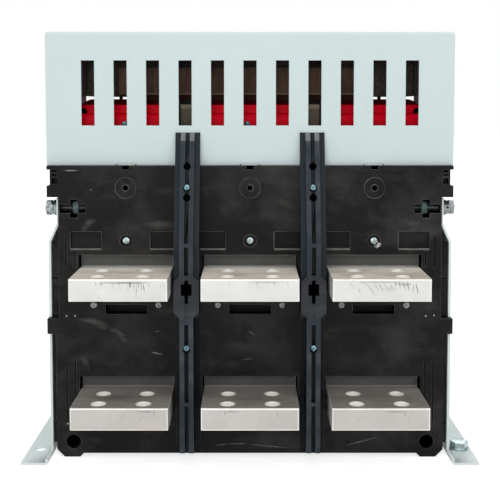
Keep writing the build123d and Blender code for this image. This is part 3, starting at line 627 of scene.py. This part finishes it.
# %% [markdown]
# ## Rounded edges
# A solid's edges are perfectly sharp, and nothing real is. A copy of the mesh is merged, its
# flat faces are joined, and a narrow Bevel modifier rounds its outer edges, so that each
# catches a line of light. Inner corners stay sharp and dark, as they are in a moulding:
# a bevel weight on the outer edges alone tells the modifier which is which.

# %% Copies with softened edges


def add_piece(name, mesh, slot, *materials):
    mesh.materials.clear()
    for material in materials:
        mesh.materials.append(material)
    piece = bpy.data.objects.new(name, mesh)
    bpy.context.scene.collection.objects.link(piece)
    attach(piece, "root")
    return piece


def soften(node, width, segments=2):
    mesh = frame["nodes"][node].data.copy()
    shape = bmesh.new()
    shape.from_mesh(mesh)
    bmesh.ops.remove_doubles(shape, verts=shape.verts, dist=0.005 * mm)
    bmesh.ops.dissolve_limit(shape, angle_limit=math.radians(1.0), verts=shape.verts, edges=shape.edges)
    inner = [edge for edge in shape.edges if len(edge.link_faces) == 2 and not edge.is_convex
             and edge.calc_face_angle() > math.radians(35)]
    beside = {face for edge in inner for face in edge.link_faces if len(face.verts) == 4
              and min(side.calc_length() for side in face.edges) > 6 * width}
    bmesh.ops.inset_individual(shape, faces=list(beside), thickness=1.5 * width, use_even_offset=True)
    for face in shape.faces:
        face.smooth = True
    weight = shape.edges.layers.float.new("bevel_weight_edge")
    for edge in shape.edges:
        corner = len(edge.link_faces) != 2 or edge.calc_face_angle() > math.radians(35)
        on_pad = node == "rear_housing" and min(v.co.y for v in edge.verts) < rear_face - 0.1 * mm
        rounded = corner and len(edge.link_faces) == 2 and edge.is_convex and not on_pad
        edge[weight] = 1.0 if rounded else 0.0
        edge.smooth = rounded or not corner
    shape.to_mesh(mesh)
    shape.free()
    slot = slots[node]
    piece = add_piece(f"{node}_skin", mesh, slot, finish_of(node))
    bevel = piece.modifiers.new("edge", "BEVEL")
    bevel.width = width
    bevel.segments = segments
    bevel.limit_method = "WEIGHT"
    bevel.use_clamp_overlap = True
    level = piece.modifiers.new("level", "WEIGHTED_NORMAL")
    level.mode = "FACE_AREA"
    level.weight = 80
    level.keep_sharp = True
    # the bevel faces get the paler edge finish: wear and painted highlight
    if slot in edge_finishes:
        mesh.materials.append(edge_finishes[slot])
        bevel.material = 1
    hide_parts(node)
    return piece


edge_widths = {"rear_housing": 0.6, "vented_cover": 0.5, "front_housing": 1.2, "front_fascia": 0.8,
               "charging_handle": 0.8, "on_button": 0.6, "off_button": 0.6, "trip_unit": 0.5,
               "operating_panel": 0.4, "insulating_board": 0.3, "charge_window": 0.4, "state_window": 0.4}
for node in frame["nodes"]:
    if "terminal" in node or "rail" in node or "block" in node or "barrier" in node:
        edge_widths[node] = 0.45
    if "plate" in node or "chute" in node:
        edge_widths[node] = 0.4
for node, width in edge_widths.items():
    soften(node, width * mm)
print("softened", len(edge_widths), "solids")

# %% [markdown]
# ## Turned parts
# Screws, washers and nuts are turned on a lathe, and the model of one is made the same way:
# half a profile is drawn and spun about its axis. The axis is given as a direction, and the
# finished shape is turned to it inside the mesh, so the object itself stays at the origin.

# %% Lathe and hexagon tools


def aimed(place, direction, spin=0.0):
    turn = Vector(direction).to_track_quat("Z", "Y").to_matrix().to_4x4()
    return Matrix.Translation(Vector(place)) @ turn @ Matrix.Rotation(spin, 4, "Z")


def lathe(shape, profile, steps=32):
    """Spin (radius, height) points about Z."""
    first = [shape.verts.new((radius, 0, height)) for radius, height in profile]
    edges = [shape.edges.new(pair) for pair in zip(first, first[1:])]
    bmesh.ops.spin(shape, geom=first + edges, cent=(0, 0, 0), axis=(0, 0, 1),
                   angle=2 * math.pi, steps=steps, use_merge=True, use_duplicate=False)


def closed_mesh(shape, name, sharp=35):
    """Merge and orient a shape, and mark its sharp edges."""
    bmesh.ops.remove_doubles(shape, verts=shape.verts, dist=0.002 * mm)
    bmesh.ops.recalc_face_normals(shape, faces=shape.faces)
    for face in shape.faces:
        face.smooth = True
    for edge in shape.edges:
        edge.smooth = len(edge.link_faces) == 2 and edge.calc_face_angle(0) < math.radians(sharp)
    mesh = bpy.data.meshes.new(name)
    shape.to_mesh(mesh)
    shape.free()
    return mesh


def washer(name, inner, outer, thick, edge=0.15 * mm):
    shape = bmesh.new()
    profile = [(inner, 0), (outer - edge, 0), (outer, edge), (outer, thick - edge),
               (outer - edge, thick), (inner, thick), (inner, 0)]
    lathe(shape, profile)
    return closed_mesh(shape, name)


def hexagon(name, flats, height, chamfer):
    """A hexagon prism with its top edges chamfered, standing on Z = 0."""
    shape = bmesh.new()
    radius = flats / math.sqrt(3)
    bmesh.ops.create_cone(shape, cap_ends=True, segments=6, radius1=radius, radius2=radius, depth=height)
    bmesh.ops.translate(shape, vec=(0, 0, height / 2), verts=shape.verts)
    top = [edge for edge in shape.edges if all(v.co.z > height * 0.9 for v in edge.verts)]
    bmesh.ops.bevel(shape, geom=top, offset=chamfer, segments=2, profile=0.5, affect="EDGES", material=-1)
    return closed_mesh(shape, name, 25)


def gather(name, placed):
    """Join (mesh, matrix) pairs into one mesh."""
    shape = bmesh.new()
    for mesh, matrix in placed:
        copy = mesh.copy()
        copy.transform(matrix)
        shape.from_mesh(copy)
    joined = bpy.data.meshes.new(name)
    shape.to_mesh(joined)
    shape.free()
    return joined


# %% [markdown]
# ## Hex bolts at the side plates
# Each side plate hangs on bolts that go sideways into the housing: a flat washer, a split
# spring washer, and a hexagon head. The shank and the nut of the rear one show in a pocket of
# the rear face. The spring washer is cut through and sprung open, because the dark gap is
# what tells it from a flat one.

# %% Bolt parts
thread = 8 * mm
flat_thick, spring_thick, head_thick = 1.6 * mm, 2.1 * mm, 5.6 * mm
flat_washer = washer("flat_washer", thread / 2, 7.4 * mm, flat_thick)
bolt_head = hexagon("bolt_head", 12.4 * mm, head_thick, 0.7 * mm)
bolt_nut = hexagon("bolt_nut", 11 * mm, 5.4 * mm, 0.6 * mm)


def spring_washer(name, inner, outer, thick):
    shape = bmesh.new()
    corners = [(inner, 0), (outer, 0), (outer, thick), (inner, thick)]
    points = [shape.verts.new((radius, 0, height)) for radius, height in corners]
    section = shape.faces.new(points)
    bmesh.ops.spin(shape, geom=[section], cent=(0, 0, 0), axis=(0, 0, 1), dvec=(0, 0, 0.02 * mm),
                   angle=math.radians(346), steps=30, use_duplicate=False)
    return closed_mesh(shape, name)


split_washer = spring_washer("split_washer", thread / 2, 6.6 * mm, spring_thick)


def threaded_rod(name, radius, length, pitch):
    """A shank whose thread is turned as a row of ridges."""
    shape = bmesh.new()
    profile = [(0, 0), (radius - 0.4 * pitch, 0)]
    for turn in range(int(length / pitch)):
        profile += [(radius, (turn + 0.5) * pitch), (radius - 0.4 * pitch, (turn + 1) * pitch)]
    profile.append((0, profile[-1][1]))
    lathe(shape, profile, 20)
    return closed_mesh(shape, name, 60)


shank = threaded_rod("shank", thread / 2, 26 * mm, 1.0 * mm)

# %% [markdown]
# ## Placing the bolts
# Each bolt is a stack from the plate outwards, so the loop keeps a running height and sets
# the next part on it. Nuts get a finish of their own, because they look greener than heads.

# %% Bolts on the side plates
bolt_z = 234.5 * mm
bolt_ys = [plate_low.y + 35 * mm, plate_low.y + 153 * mm]
plate_sheet = 2.5 * mm
plate_inner_x = 177.6 * mm
plate_face = plate_inner_x + plate_sheet
nut_x, shank_x = 160.5 * mm, 153 * mm
placed, nuts = [], []
for side in (-1, 1):
    for bolt_y in bolt_ys:
        outward = (side, 0, 0)
        stack = plate_face
        stacked = ((flat_washer, flat_thick, 0), (flat_washer, flat_thick, 0),
                   (split_washer, spring_thick, 2.2 + side), (bolt_head, head_thick, 0.2))
        for mesh, thick, spin in stacked:
            placed.append((mesh, aimed((side * stack, bolt_y, bolt_z), outward, spin)))
            stack += thick + 0.05 * mm
    placed.append((shank, aimed((side * shank_x, bolt_ys[0], bolt_z), outward)))
    nuts.append((bolt_nut, aimed((side * nut_x, bolt_ys[0], bolt_z), outward, 0.5)))
side_bolts = add_piece("side_plate_bolts", gather("side_plate_bolts", placed), "zinc_steel", bolt_zinc)
add_piece("side_plate_nuts", gather("side_plate_nuts", nuts), "zinc_steel", nut_zinc)
print("side bolts:", len(side_bolts.data.polygons), "faces")

# %% [markdown]
# ## Pan-head screws
# The same small cross-head screw holds the rails, the caps and the rear face. Its dome is a
# spun arc, and a Boolean modifier cuts the cross recess with two tapered bars. One screw is
# made well, and copies of its mesh go to all the places.

# %% One cross-head screw


def pan_head(name, dia, tall):
    shape = bmesh.new()
    radius = dia / 2
    steps = [math.pi / 2 * k / 7 for k in range(8)]
    dome = [(radius * math.sin(a), tall * (0.35 + 0.65 * math.cos(a))) for a in steps]
    lathe(shape, dome + [(radius, 0), (0, 0)], 28)
    head = bpy.data.objects.new(name, closed_mesh(shape, name))
    cutter = bmesh.new()
    for turn in (0, math.pi / 2):
        bar = bmesh.ops.create_cube(cutter, size=1.0)["verts"]
        bmesh.ops.scale(cutter, vec=(radius * 1.15, radius * 0.26, tall * 1.2), verts=bar)
        for vert in bar:
            if vert.co.z < 0:
                vert.co.x *= 0.35
        bmesh.ops.rotate(cutter, cent=(0, 0, 0), matrix=Matrix.Rotation(turn, 3, "Z"), verts=bar)
        bmesh.ops.translate(cutter, vec=(0, 0, tall * 0.95), verts=bar)
    tool = bpy.data.objects.new("cross", closed_mesh(cutter, "cross"))
    for thing in (head, tool):
        bpy.context.scene.collection.objects.link(thing)
    cut = head.modifiers.new("cross", "BOOLEAN")
    cut.operation = "DIFFERENCE"
    cut.object = tool
    cut.use_self = True
    bpy.context.view_layer.update()
    mesh = bpy.data.meshes.new_from_object(head.evaluated_get(bpy.context.evaluated_depsgraph_get()))
    for thing in (head, tool):
        bpy.data.objects.remove(thing)
    print(name, "has", len(mesh.polygons), "faces")
    return mesh


# %% [markdown]
# ## Placing the screws
# Three rows differ only in size and plating, so they share one mesh. The upper rail screws
# stand square to the slope, which is why they get a direction that leans with it.

# %% Screws of the rear face, the caps and the rails
rearward = (0, -1, 0)
screw = pan_head("screw", 7.4 * mm, 2.6 * mm)
screw_z = 204.7 * mm
cap_screw_off, cap_screw_z = 2.6 * mm, 312.6 * mm
under_screw_off, under_screw_z = 30.2 * mm, 144.8 * mm
upper_rail_screw_z, lower_rail_screw_z, screw_sunk = 255.2 * mm, 110.8 * mm, 1.6 * mm
counterbore_floor = rear_face + 3 * mm
cap_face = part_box("arc_chute_middle")[0].y
rail_face = rail_low.y
slope_out = (0, -(slope_top_z - slope_base_z), slope_run)


def rail_front(high):
    """The front of a rail's ridges at one height."""
    return rail_face + slope_run * max(0.0, (high - slope_base_z) / (slope_top_z - slope_base_z))


face_places, dull_places, rail_places = [], [], []
for number, x in enumerate(pole_xs):
    face_places.append(aimed((x, counterbore_floor, screw_z), rearward, 0.3 + number))
    rail_places.append(aimed((x - cap_screw_off, cap_face, cap_screw_z), rearward, 0.8 * number))
    for side in (-1, 1):
        under = (x + side * under_screw_off, rear_face, under_screw_z)
        dull_places.append(aimed(under, rearward, number + side))
for side in (-1, 1):
    rail_x = side * pole_pitch / 2
    upper_y = rail_front(upper_rail_screw_z) + screw_sunk
    rail_places.append(aimed((rail_x, upper_y, upper_rail_screw_z), slope_out, 0.5))
    rail_places.append(aimed((rail_x, rail_face + screw_sunk, lower_rail_screw_z), rearward, 0.2))
screw_rows = (("rear_screws", face_places, 1.0, zinc), ("under_screws", dull_places, 0.88, dull_zinc),
              ("rail_screws", rail_places, 0.76, blue_zinc))
for name, places, scale, finish in screw_rows:
    sized = [(screw, place @ Matrix.Scale(scale, 4)) for place in places]
    add_piece(name, gather(name, sized), "zinc_steel", finish)
    print(name, len(places))

# %% [markdown]
# ## Moulded rings
# Each pole has a low round pad with a raised bead at its rim and a small hub round the hole.
# They are a few tenths of a millimetre high, so they are turned as thin rings that sit on
# the pad.

# %% Beads on the round pads


def bead(name, radius, width, proud):
    shape = bmesh.new()
    arc = [math.pi * k / 6 for k in range(7)]
    profile = [(radius + width / 2 * math.cos(a), proud * math.sin(a)) for a in arc]
    lathe(shape, profile + [profile[0]], 48)
    return closed_mesh(shape, name, 70)


ring_z = 254 * mm
pad_face = housing_low.y
rim_bead = bead("rim_bead", 9.7 * mm, 1.1 * mm, 0.5 * mm)
hub_bead = bead("hub_bead", 3.1 * mm, 1.5 * mm, 0.6 * mm)
screw_bead = bead("screw_bead", 5.9 * mm, 0.7 * mm, 0.25 * mm)
placed = [(ring, aimed((x, pad_face + 0.3 * mm, ring_z), rearward))
          for x in pole_xs for ring in (rim_bead, hub_bead)]
placed += [(screw_bead, aimed((x, rear_face, screw_z), rearward)) for x in pole_xs]
add_piece("pad_beads", gather("pad_beads", placed), "black_moulding", lip_dark)
print("beads on", len(pole_xs), "pads")

# %% [markdown]
# ## Lips of the recesses
# The shallow recesses have a ledge below and thin dark rims beside and above. The ledge is
# painted pale grey, a painted highlight on a face that looks up. Each is a small bar, because a
# line this thin would be lost in a bump.

# %% Lips round the shallow recesses


def bar_between(low, high, edge=0.15 * mm):
    """A small bar with softened edges, from its two corners."""
    shape = bmesh.new()
    bmesh.ops.create_cube(shape, size=1.0)
    bmesh.ops.scale(shape, vec=Vector(high) - Vector(low), verts=shape.verts)
    bmesh.ops.translate(shape, vec=(Vector(low) + Vector(high)) / 2, verts=shape.verts)
    bmesh.ops.bevel(shape, geom=shape.edges[:], offset=edge, segments=1, profile=0.5,
                    affect="EDGES", material=-1)
    return closed_mesh(shape, "bar")


recess_half_width, recess_base, recess_top = 14.2 * mm, 197.95 * mm, 213.05 * mm
lip_proud, lip_sunk = 0.3 * mm, 0.3 * mm
still = Matrix.Identity(4)
ledges, rims = [], []
for pole_x in pole_xs:
    for side in (-1, 1):
        middle = pole_x + side * recess_offset
        left, right = middle - recess_half_width, middle + recess_half_width
        front, back = rear_face - lip_proud, rear_face + lip_sunk
        thin = 0.45 * mm
        ledges.append((left - thin, recess_base - 1.9 * mm, right + thin, recess_base - 0.1 * mm))
        rims.append((left - 2 * thin, recess_base, left, recess_top))
        rims.append((right, recess_base, right + thin, recess_top))
        rims.append((left - thin, recess_top, right + thin, recess_top + thin))
for name, rows, finish in (("recess_ledges", ledges, ledge_highlight_grey), ("recess_rims", rims, lip_dark)):
    bars = [(bar_between((x0, front, z0), (x1, back, z1)), still) for x0, z0, x1, z1 in rows]
    add_piece(name, gather(name, bars), "black_moulding", finish)
print("lips:", len(ledges) + len(rims))

# %% [markdown]
# ## Catch tongues
# A tongue of the hood shows in the notch above each pole. A plain bar inside the notch does.

# %% Catch tongues in the hood's notches
placed = []
for pole_x in pole_xs:
    low = (pole_x - 8.4 * mm, hood_low.y + 0.4 * mm, hood_low.z + 0.1 * mm)
    high = (pole_x + 8.4 * mm, hood_low.y + 1.2 * mm, hood_low.z + 2.2 * mm)
    placed.append((bar_between(low, high), still))
add_piece("catch_tongues", gather("catch_tongues", placed), "pale_painted_sheet", plate_paint)
print("tongues:", len(placed))

# %% [markdown]
# ## Ports
# A round port shows in each outer cap. Its depth is drawn as a black disc with a rounded rim,
# painted shade, and later cells use the same disc as the floor of other round holes.

# %% Ports in the outer caps
port = bmesh.new()
lathe(port, [(0, 0), (3.6 * mm, 0), (4.0 * mm, 0.2 * mm), (3.6 * mm, 0.4 * mm), (0, 0.4 * mm)], 24)
port_mesh = closed_mesh(port, "port")
port_x, port_z, port_depth = 157.4 * mm, 323.7 * mm, 3.9 * mm
placed = [(port_mesh, aimed((side * port_x, cap_face + port_depth, port_z), rearward))
          for side in (-1, 1)]
add_piece("cap_ports", gather("cap_ports", placed), "black_moulding", shade_black)
print("ports:", len(placed))

# %% [markdown]
# ## Floors of the pockets
# Real holes are so deep that no light comes back. These are shallow, so a black liner lies on
# the floor of each, which is simpler than a darker patch in the housing's own finish.

# %% Dark floors of the small pockets
placed = []
for pole_x in pole_xs:
    placed.append((bar_between((pole_x - 3.3 * mm, rear_face + 3.2 * mm, 271.1 * mm),
                               (pole_x + 3.3 * mm, rear_face + 4.9 * mm, 274.4 * mm)), still))
    in_pad = aimed((pole_x, rear_face + 2.6 * mm, ring_z), rearward)
    placed.append((port_mesh, in_pad @ Matrix.Scale(0.78, 4)))
square_z, slot_z = 164.0 * mm, 161.9 * mm
rail_hole_zs = (274.3 * mm, 246.3 * mm, 109.5 * mm)
for side in (-1, 1):
    rail_x = side * pole_pitch / 2
    for half_wide, half_high, z in ((4.7 * mm, 5.2 * mm, square_z), (1.5 * mm, 10.5 * mm, slot_z)):
        placed.append((bar_between((rail_x - half_wide, rail_low.y + 5 * mm, z - half_high),
                                   (rail_x + half_wide, rail_low.y + 6 * mm, z + half_high)), still))
    for z in rail_hole_zs:
        in_rail = aimed((rail_x, rail_front(z) + 3.4 * mm, z), rearward)
        placed.append((port_mesh, in_rail @ Matrix.Scale(0.84, 4)))
add_piece("pocket_floors", gather("pocket_floors", placed), "black_moulding", shade_black)
print("pocket floors:", len(placed))

# %% [markdown]
# ## Side fins
# Ribs of the moulding fill the gap to the side plates, and no daylight should show there.

# %% Fins between the housing and the side plates
fin_rows = [(12 * mm, 30 * mm), (31 * mm, 74 * mm), (75 * mm, 116 * mm),
            (133 * mm, 168 * mm), (169 * mm, 202 * mm)]
fin_inner_x, fin_outer_x = 177.7 * mm, 184.9 * mm
fin_front, fin_back = rear_face + 7 * mm, rear_face + 10 * mm
placed = []
for side in (-1, 1):
    for low_z, high_z in fin_rows:
        left, right = sorted((side * fin_inner_x, side * fin_outer_x))
        fin = bar_between((left, fin_front, low_z), (right, fin_back, high_z), 0.3 * mm)
        placed.append((fin, still))
add_piece("side_fins", gather("side_fins", placed), "black_moulding", housing_black)
print("fins:", len(placed))

# %% [markdown]
# ## Pins and swarf
# Tiny pins and a curl of swarf by one screw are left from the assembly. The curl is a short
# edge spun while it climbs, and then given a thickness.

# %% Pins and swarf
pin = pan_head("pin", 1.9 * mm, 0.4 * mm)
pin_places = [(-170.8, 134.4), (-162.9, 134.4), (163.7, 134.4), (171.4, 134.9), (-170.8, 32.2)]
placed = [(pin, aimed((x * mm, rear_face, z * mm), rearward)) for x, z in pin_places]
curl = bmesh.new()
first = curl.verts.new((1.9 * mm, 0, 0))
second = curl.verts.new((2.3 * mm, 0, 1.6 * mm))
strip = curl.edges.new((first, second))
bmesh.ops.spin(curl, geom=[first, second, strip], cent=(0, 0, 0), axis=(0, 0, 1),
               dvec=(0.03 * mm, 0, 0.16 * mm), angle=math.radians(560), steps=36, use_duplicate=False)
bmesh.ops.solidify(curl, geom=curl.faces[:], thickness=0.35 * mm)
swarf = closed_mesh(curl, "swarf")
curls = [(swarf, aimed((pole_xs[2] + 0.5 * mm, rear_face - 0.5 * mm, 203.6 * mm), (0.5, -0.6, -0.5)))]
add_piece("swarf_curl", gather("swarf_curl", curls), "zinc_steel", swarf_steel)
add_piece("small_pins", gather("small_pins", placed), "zinc_steel", dull_zinc)
print("pins:", len(pin_places))

# %% [markdown]
# ## Bolt left in one foot
# The right rear foot still has the bolt that held the breaker for transport: a wide flat
# washer and a hexagon head.

# %% Foot bolt
foot_washer = washer("foot_washer", 5 * mm, 9 * mm, 1.8 * mm)
foot_head = hexagon("foot_head", 15 * mm, 6 * mm, 0.7 * mm)
foot_x, foot_y = 200 * mm, -88 * mm
placed = [(foot_washer, aimed((foot_x, foot_y, plate_sheet), (0, 0, 1))),
          (foot_head, aimed((foot_x, foot_y, plate_sheet + 1.8 * mm), (0, 0, 1), 0.4))]
add_piece("foot_bolt", gather("foot_bolt", placed), "zinc_steel", zinc)
print("foot bolt stands", round((plate_sheet + 7.8 * mm) / mm, 1), "mm high")

# %% [markdown]
# ## Details of the front
# The front isn't in the photograph, so it gets only what every such breaker has: screws at
# the corners, a dark display with keys and three lamps, frames round the buttons and the
# indicator windows, a screw in the charging handle, and one at each secondary terminal.

# %% Screws of the front
forward = (0, 1, 0)
fascia_low, fascia_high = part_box("front_fascia")
panel_low, panel_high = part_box("operating_panel")
unit_low, unit_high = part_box("trip_unit")
unit_face = unit_high.y - 1.2 * mm
placed = []
for side_x in (-1, 1):
    for z in (fascia_low.z + 13 * mm, fascia_high.z - 13 * mm):
        placed.append((screw, aimed((side_x * 162 * mm, fascia_low.y, z), forward, z * 900)))
small, tiny = Matrix.Scale(0.8, 4), Matrix.Scale(0.6, 4)
for x in (panel_low.x + 7 * mm, panel_high.x - 7 * mm):
    for z in (panel_low.z + 7 * mm, panel_high.z - 7 * mm):
        placed.append((screw, aimed((x, panel_high.y, z), forward, x * 500 + z * 700) @ small))
for x in (unit_low.x + 8 * mm, unit_high.x - 8 * mm):
    placed.append((screw, aimed((x, unit_face, unit_low.z + 9 * mm), forward, x * 700) @ tiny))
handle_low, handle_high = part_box("charging_handle")
handle_x = (handle_low.x + handle_high.x) / 2
placed.append((screw, aimed((handle_x, handle_high.y - 4 * mm, handle_high.z - 16 * mm), forward, 0.6)))
add_piece("front_screws", gather("front_screws", placed), "zinc_steel", zinc)
print("front screws:", len(placed))

# %% [markdown]
# ## Display, keys and lamps
# They stay blank: a dark glass, six plain key caps and three lens-shaped lamps in one row.

# %% Display, key caps and lamps
unit_x = (unit_low.x + unit_high.x) / 2
glass_half, glass_foot, glass_top = 30.5 * mm, 187.5 * mm, 222.5 * mm
glass = bar_between((unit_x - glass_half, unit_face - 1.5 * mm, glass_foot),
                    (unit_x + glass_half, unit_face - 0.6 * mm, glass_top), 0.2 * mm)
add_piece("display_glass", glass, "window_lens", screen_glass)
caps = []
for column in (-1, 0, 1):
    for row in (-0.5, 0.5):
        x, z = unit_x + column * 20 * mm, 150 * mm + row * 20 * mm
        caps.append((bar_between((x - 3.4 * mm, unit_face + 1.2 * mm, z - 3.4 * mm),
                                 (x + 3.4 * mm, unit_face + 1.7 * mm, z + 3.4 * mm), 0.2 * mm), still))
add_piece("key_caps", gather("key_caps", caps), "grey_moulding", grey_moulding)
lamp_shape = bmesh.new()
lathe(lamp_shape, [(0, 1.1 * mm), (1.0 * mm, 0.9 * mm), (1.7 * mm, 0.3 * mm), (1.8 * mm, 0), (0, 0)], 20)
lamp_mesh = closed_mesh(lamp_shape, "lamp")
lamps = ((-1, "lamp_run", "green_button", green_gloss), (0, "lamp_alarm", "window_lens", cream_lens),
         (1, "lamp_trip", "red_button", red_gloss))
lamp_pitch, lamp_z = 12 * mm, 176 * mm
for column, name, slot, finish in lamps:
    place = aimed((unit_x + column * lamp_pitch, unit_face, lamp_z), forward)
    add_piece(name, gather(name, [(lamp_mesh, place)]), slot, finish)

# %% [markdown]
# ## Frames
# A frame is four bars round a box. The box comes from the solid, so the frame always fits.

# %% Frames round the buttons and windows


def frame_bars(node, rim, proud):
    """Four bars round a box that stands on the operating panel."""
    low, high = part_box(node)
    back, front = panel_high.y, panel_high.y + proud
    x0, x1, z0, z1 = low.x - 0.3 * mm, high.x + 0.3 * mm, low.z - 0.3 * mm, high.z + 0.3 * mm
    rows = ((x0 - rim, z0 - rim, x1 + rim, z0), (x0 - rim, z1, x1 + rim, z1 + rim),
            (x0 - rim, z0, x0, z1), (x1, z0, x1 + rim, z1))
    return [(bar_between((a, back, b), (c, front, d), 0.25 * mm), still) for a, b, c, d in rows]


placed = []
for node, proud in (("on_button", 2.5), ("off_button", 2.5), ("charge_window", 1.0), ("state_window", 1.0)):
    placed += frame_bars(node, 1.8 * mm, proud * mm)
add_piece("button_frames", gather("button_frames", placed), "black_handle", handle_black)
print("frame bars:", len(placed))

# %% [markdown]
# ## Terminal screws
# Every way of the three blocks has one clamp screw, at a twelfth of the block's width.

# %% Screws of the secondary terminals
placed = []
for pole in ("left", "middle", "right"):
    low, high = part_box(f"secondary_block_{pole}")
    pitch = (high.x - low.x) / 12
    for way in range(12):
        spot = (low.x + (way + 0.5) * pitch, high.y - 8 * mm, high.z - 18 * mm)
        placed.append((screw, aimed(spot, (0, 0, 1), 0.7 * way) @ tiny))
add_piece("terminal_block_screws", gather("terminal_block_screws", placed), "zinc_steel", dull_zinc)
print("terminal screws:", len(placed))

# %% [markdown]
# ## Camera
# The photograph was taken level with the top of the object, so the lower bars show more of
# their tops than the upper ones. A level camera would need so large a shift that views from
# other sides lose the object. So it stands a little lower, tilts down slightly and is shifted
# less, which keeps the uprights nearly parallel.

# %% Camera
picture = 500
focal_px = 948.1
camera_place, tilt_down, picture_shift = (0, -0.9772, 0.3292), 3.54, -0.17
camera_data = bpy.data.cameras.new("camera")
camera_data.sensor_width = 36.0
camera_data.lens = focal_px * camera_data.sensor_width / picture
camera_data.shift_y = picture_shift
camera = bpy.data.objects.new("camera", camera_data)
camera.location = camera_place
camera.rotation_euler = (math.radians(90 - tilt_down), 0, 0)
bpy.context.scene.collection.objects.link(camera)
bpy.context.scene.camera = camera
print("camera", camera_place, "lens", round(camera_data.lens, 1), "mm")

# %% [markdown]
# ## Light and floor
# Product shots like this one are lit by wide soft boxes from both sides and above.
# The backdrop is white, and the floor keeps only a soft shadow under the feet.

# %% Studio


def soft_box(name, place, target, size, power):
    lamp = bpy.data.lights.new(name, "AREA")
    lamp.shape = "RECTANGLE"
    lamp.size, lamp.size_y = size
    lamp.energy = power
    holder = bpy.data.objects.new(name, lamp)
    holder.location = place
    holder.rotation_mode = "QUATERNION"
    holder.rotation_quaternion = (Vector(target) - Vector(place)).to_track_quat("-Z", "Y")
    bpy.context.scene.collection.objects.link(holder)


soft_box("front", (-0.5, -2.3, 1.0), (0, 0, 0.22), (2.0, 1.6), 17)
soft_box("fill", (1.5, -1.7, 1.1), (0, 0, 0.2), (1.4, 1.4), 7)
soft_box("top", (0, -0.5, 2.0), (0, -0.1, 0.2), (1.8, 1.2), 17)
soft_box("back", (0.3, 1.8, 1.4), (0, 0, 0.2), (1.8, 1.2), 12)

# %% [markdown]
# ## White surroundings
# The background has to be white without lighting the object more. Light Path tells the camera's
# and the mirrored rays from the rest, and only those see the world at full strength.

# %% White surroundings
world = bpy.data.worlds.new("studio")
world.use_nodes = True
bpy.context.scene.world = world
sky = world.node_tree
path = sky.nodes.new("ShaderNodeLightPath")
seen = None
for ray in ("Is Camera Ray", "Is Glossy Ray", "Is Transmission Ray"):
    if seen is None:
        seen = path.outputs[ray]
        continue
    either = sky.nodes.new("ShaderNodeMath")
    either.operation = "MAXIMUM"
    sky.links.new(seen, either.inputs[0])
    sky.links.new(path.outputs[ray], either.inputs[1])
    seen = either.outputs[0]
level = sky.nodes.new("ShaderNodeMapRange")
level.inputs["To Min"].default_value = 0.3
level.inputs["To Max"].default_value = 1.0
sky.links.new(seen, level.inputs["Value"])
sky.links.new(level.outputs[0], sky.nodes["Background"].inputs["Strength"])
sky.nodes["Background"].inputs["Color"].default_value = (1, 1, 1, 1)

# %% [markdown]
# ## Paper floor
# The floor glows for the same rays and fades to white with distance, so it keeps the shadow
# under the feet and has no visible end.

# %% Paper floor
floor_shape = bmesh.new()
bmesh.ops.create_grid(floor_shape, x_segments=1, y_segments=1, size=9.0)
floor_mesh = bpy.data.meshes.new("floor")
floor_shape.to_mesh(floor_mesh)
floor_shape.free()
floor = bpy.data.objects.new("floor", floor_mesh)
floor.location.z = -0.0002
bpy.context.scene.collection.objects.link(floor)
paper = Finish("floor_paper")
away = paper.node("ShaderNodeVectorMath", {"operation": "LENGTH"}, {0: paper.place()}, "Value")
glow = paper.band(away, 0.3, 1.1)
seen = paper.node("ShaderNodeLightPath", output="Is Camera Ray")
mirrored = paper.node("ShaderNodeLightPath", output="Is Glossy Ray")
level = (seen + mirrored).clip() * 0.7 + 0.3
white = paper.mix(glow, (0.72, 0.72, 0.72), (1.0, 1.0, 1.0))
paper.finish(Base_Color=(0.8, 0.8, 0.8), Roughness=0.95, Specular_IOR_Level=0.0,
             Emission_Color=paper.mix(level, (0.0, 0.0, 0.0), white), Emission_Strength=1.0)
floor_mesh.materials.append(paper.material)
bpy.context.scene.view_settings.view_transform = "Standard"
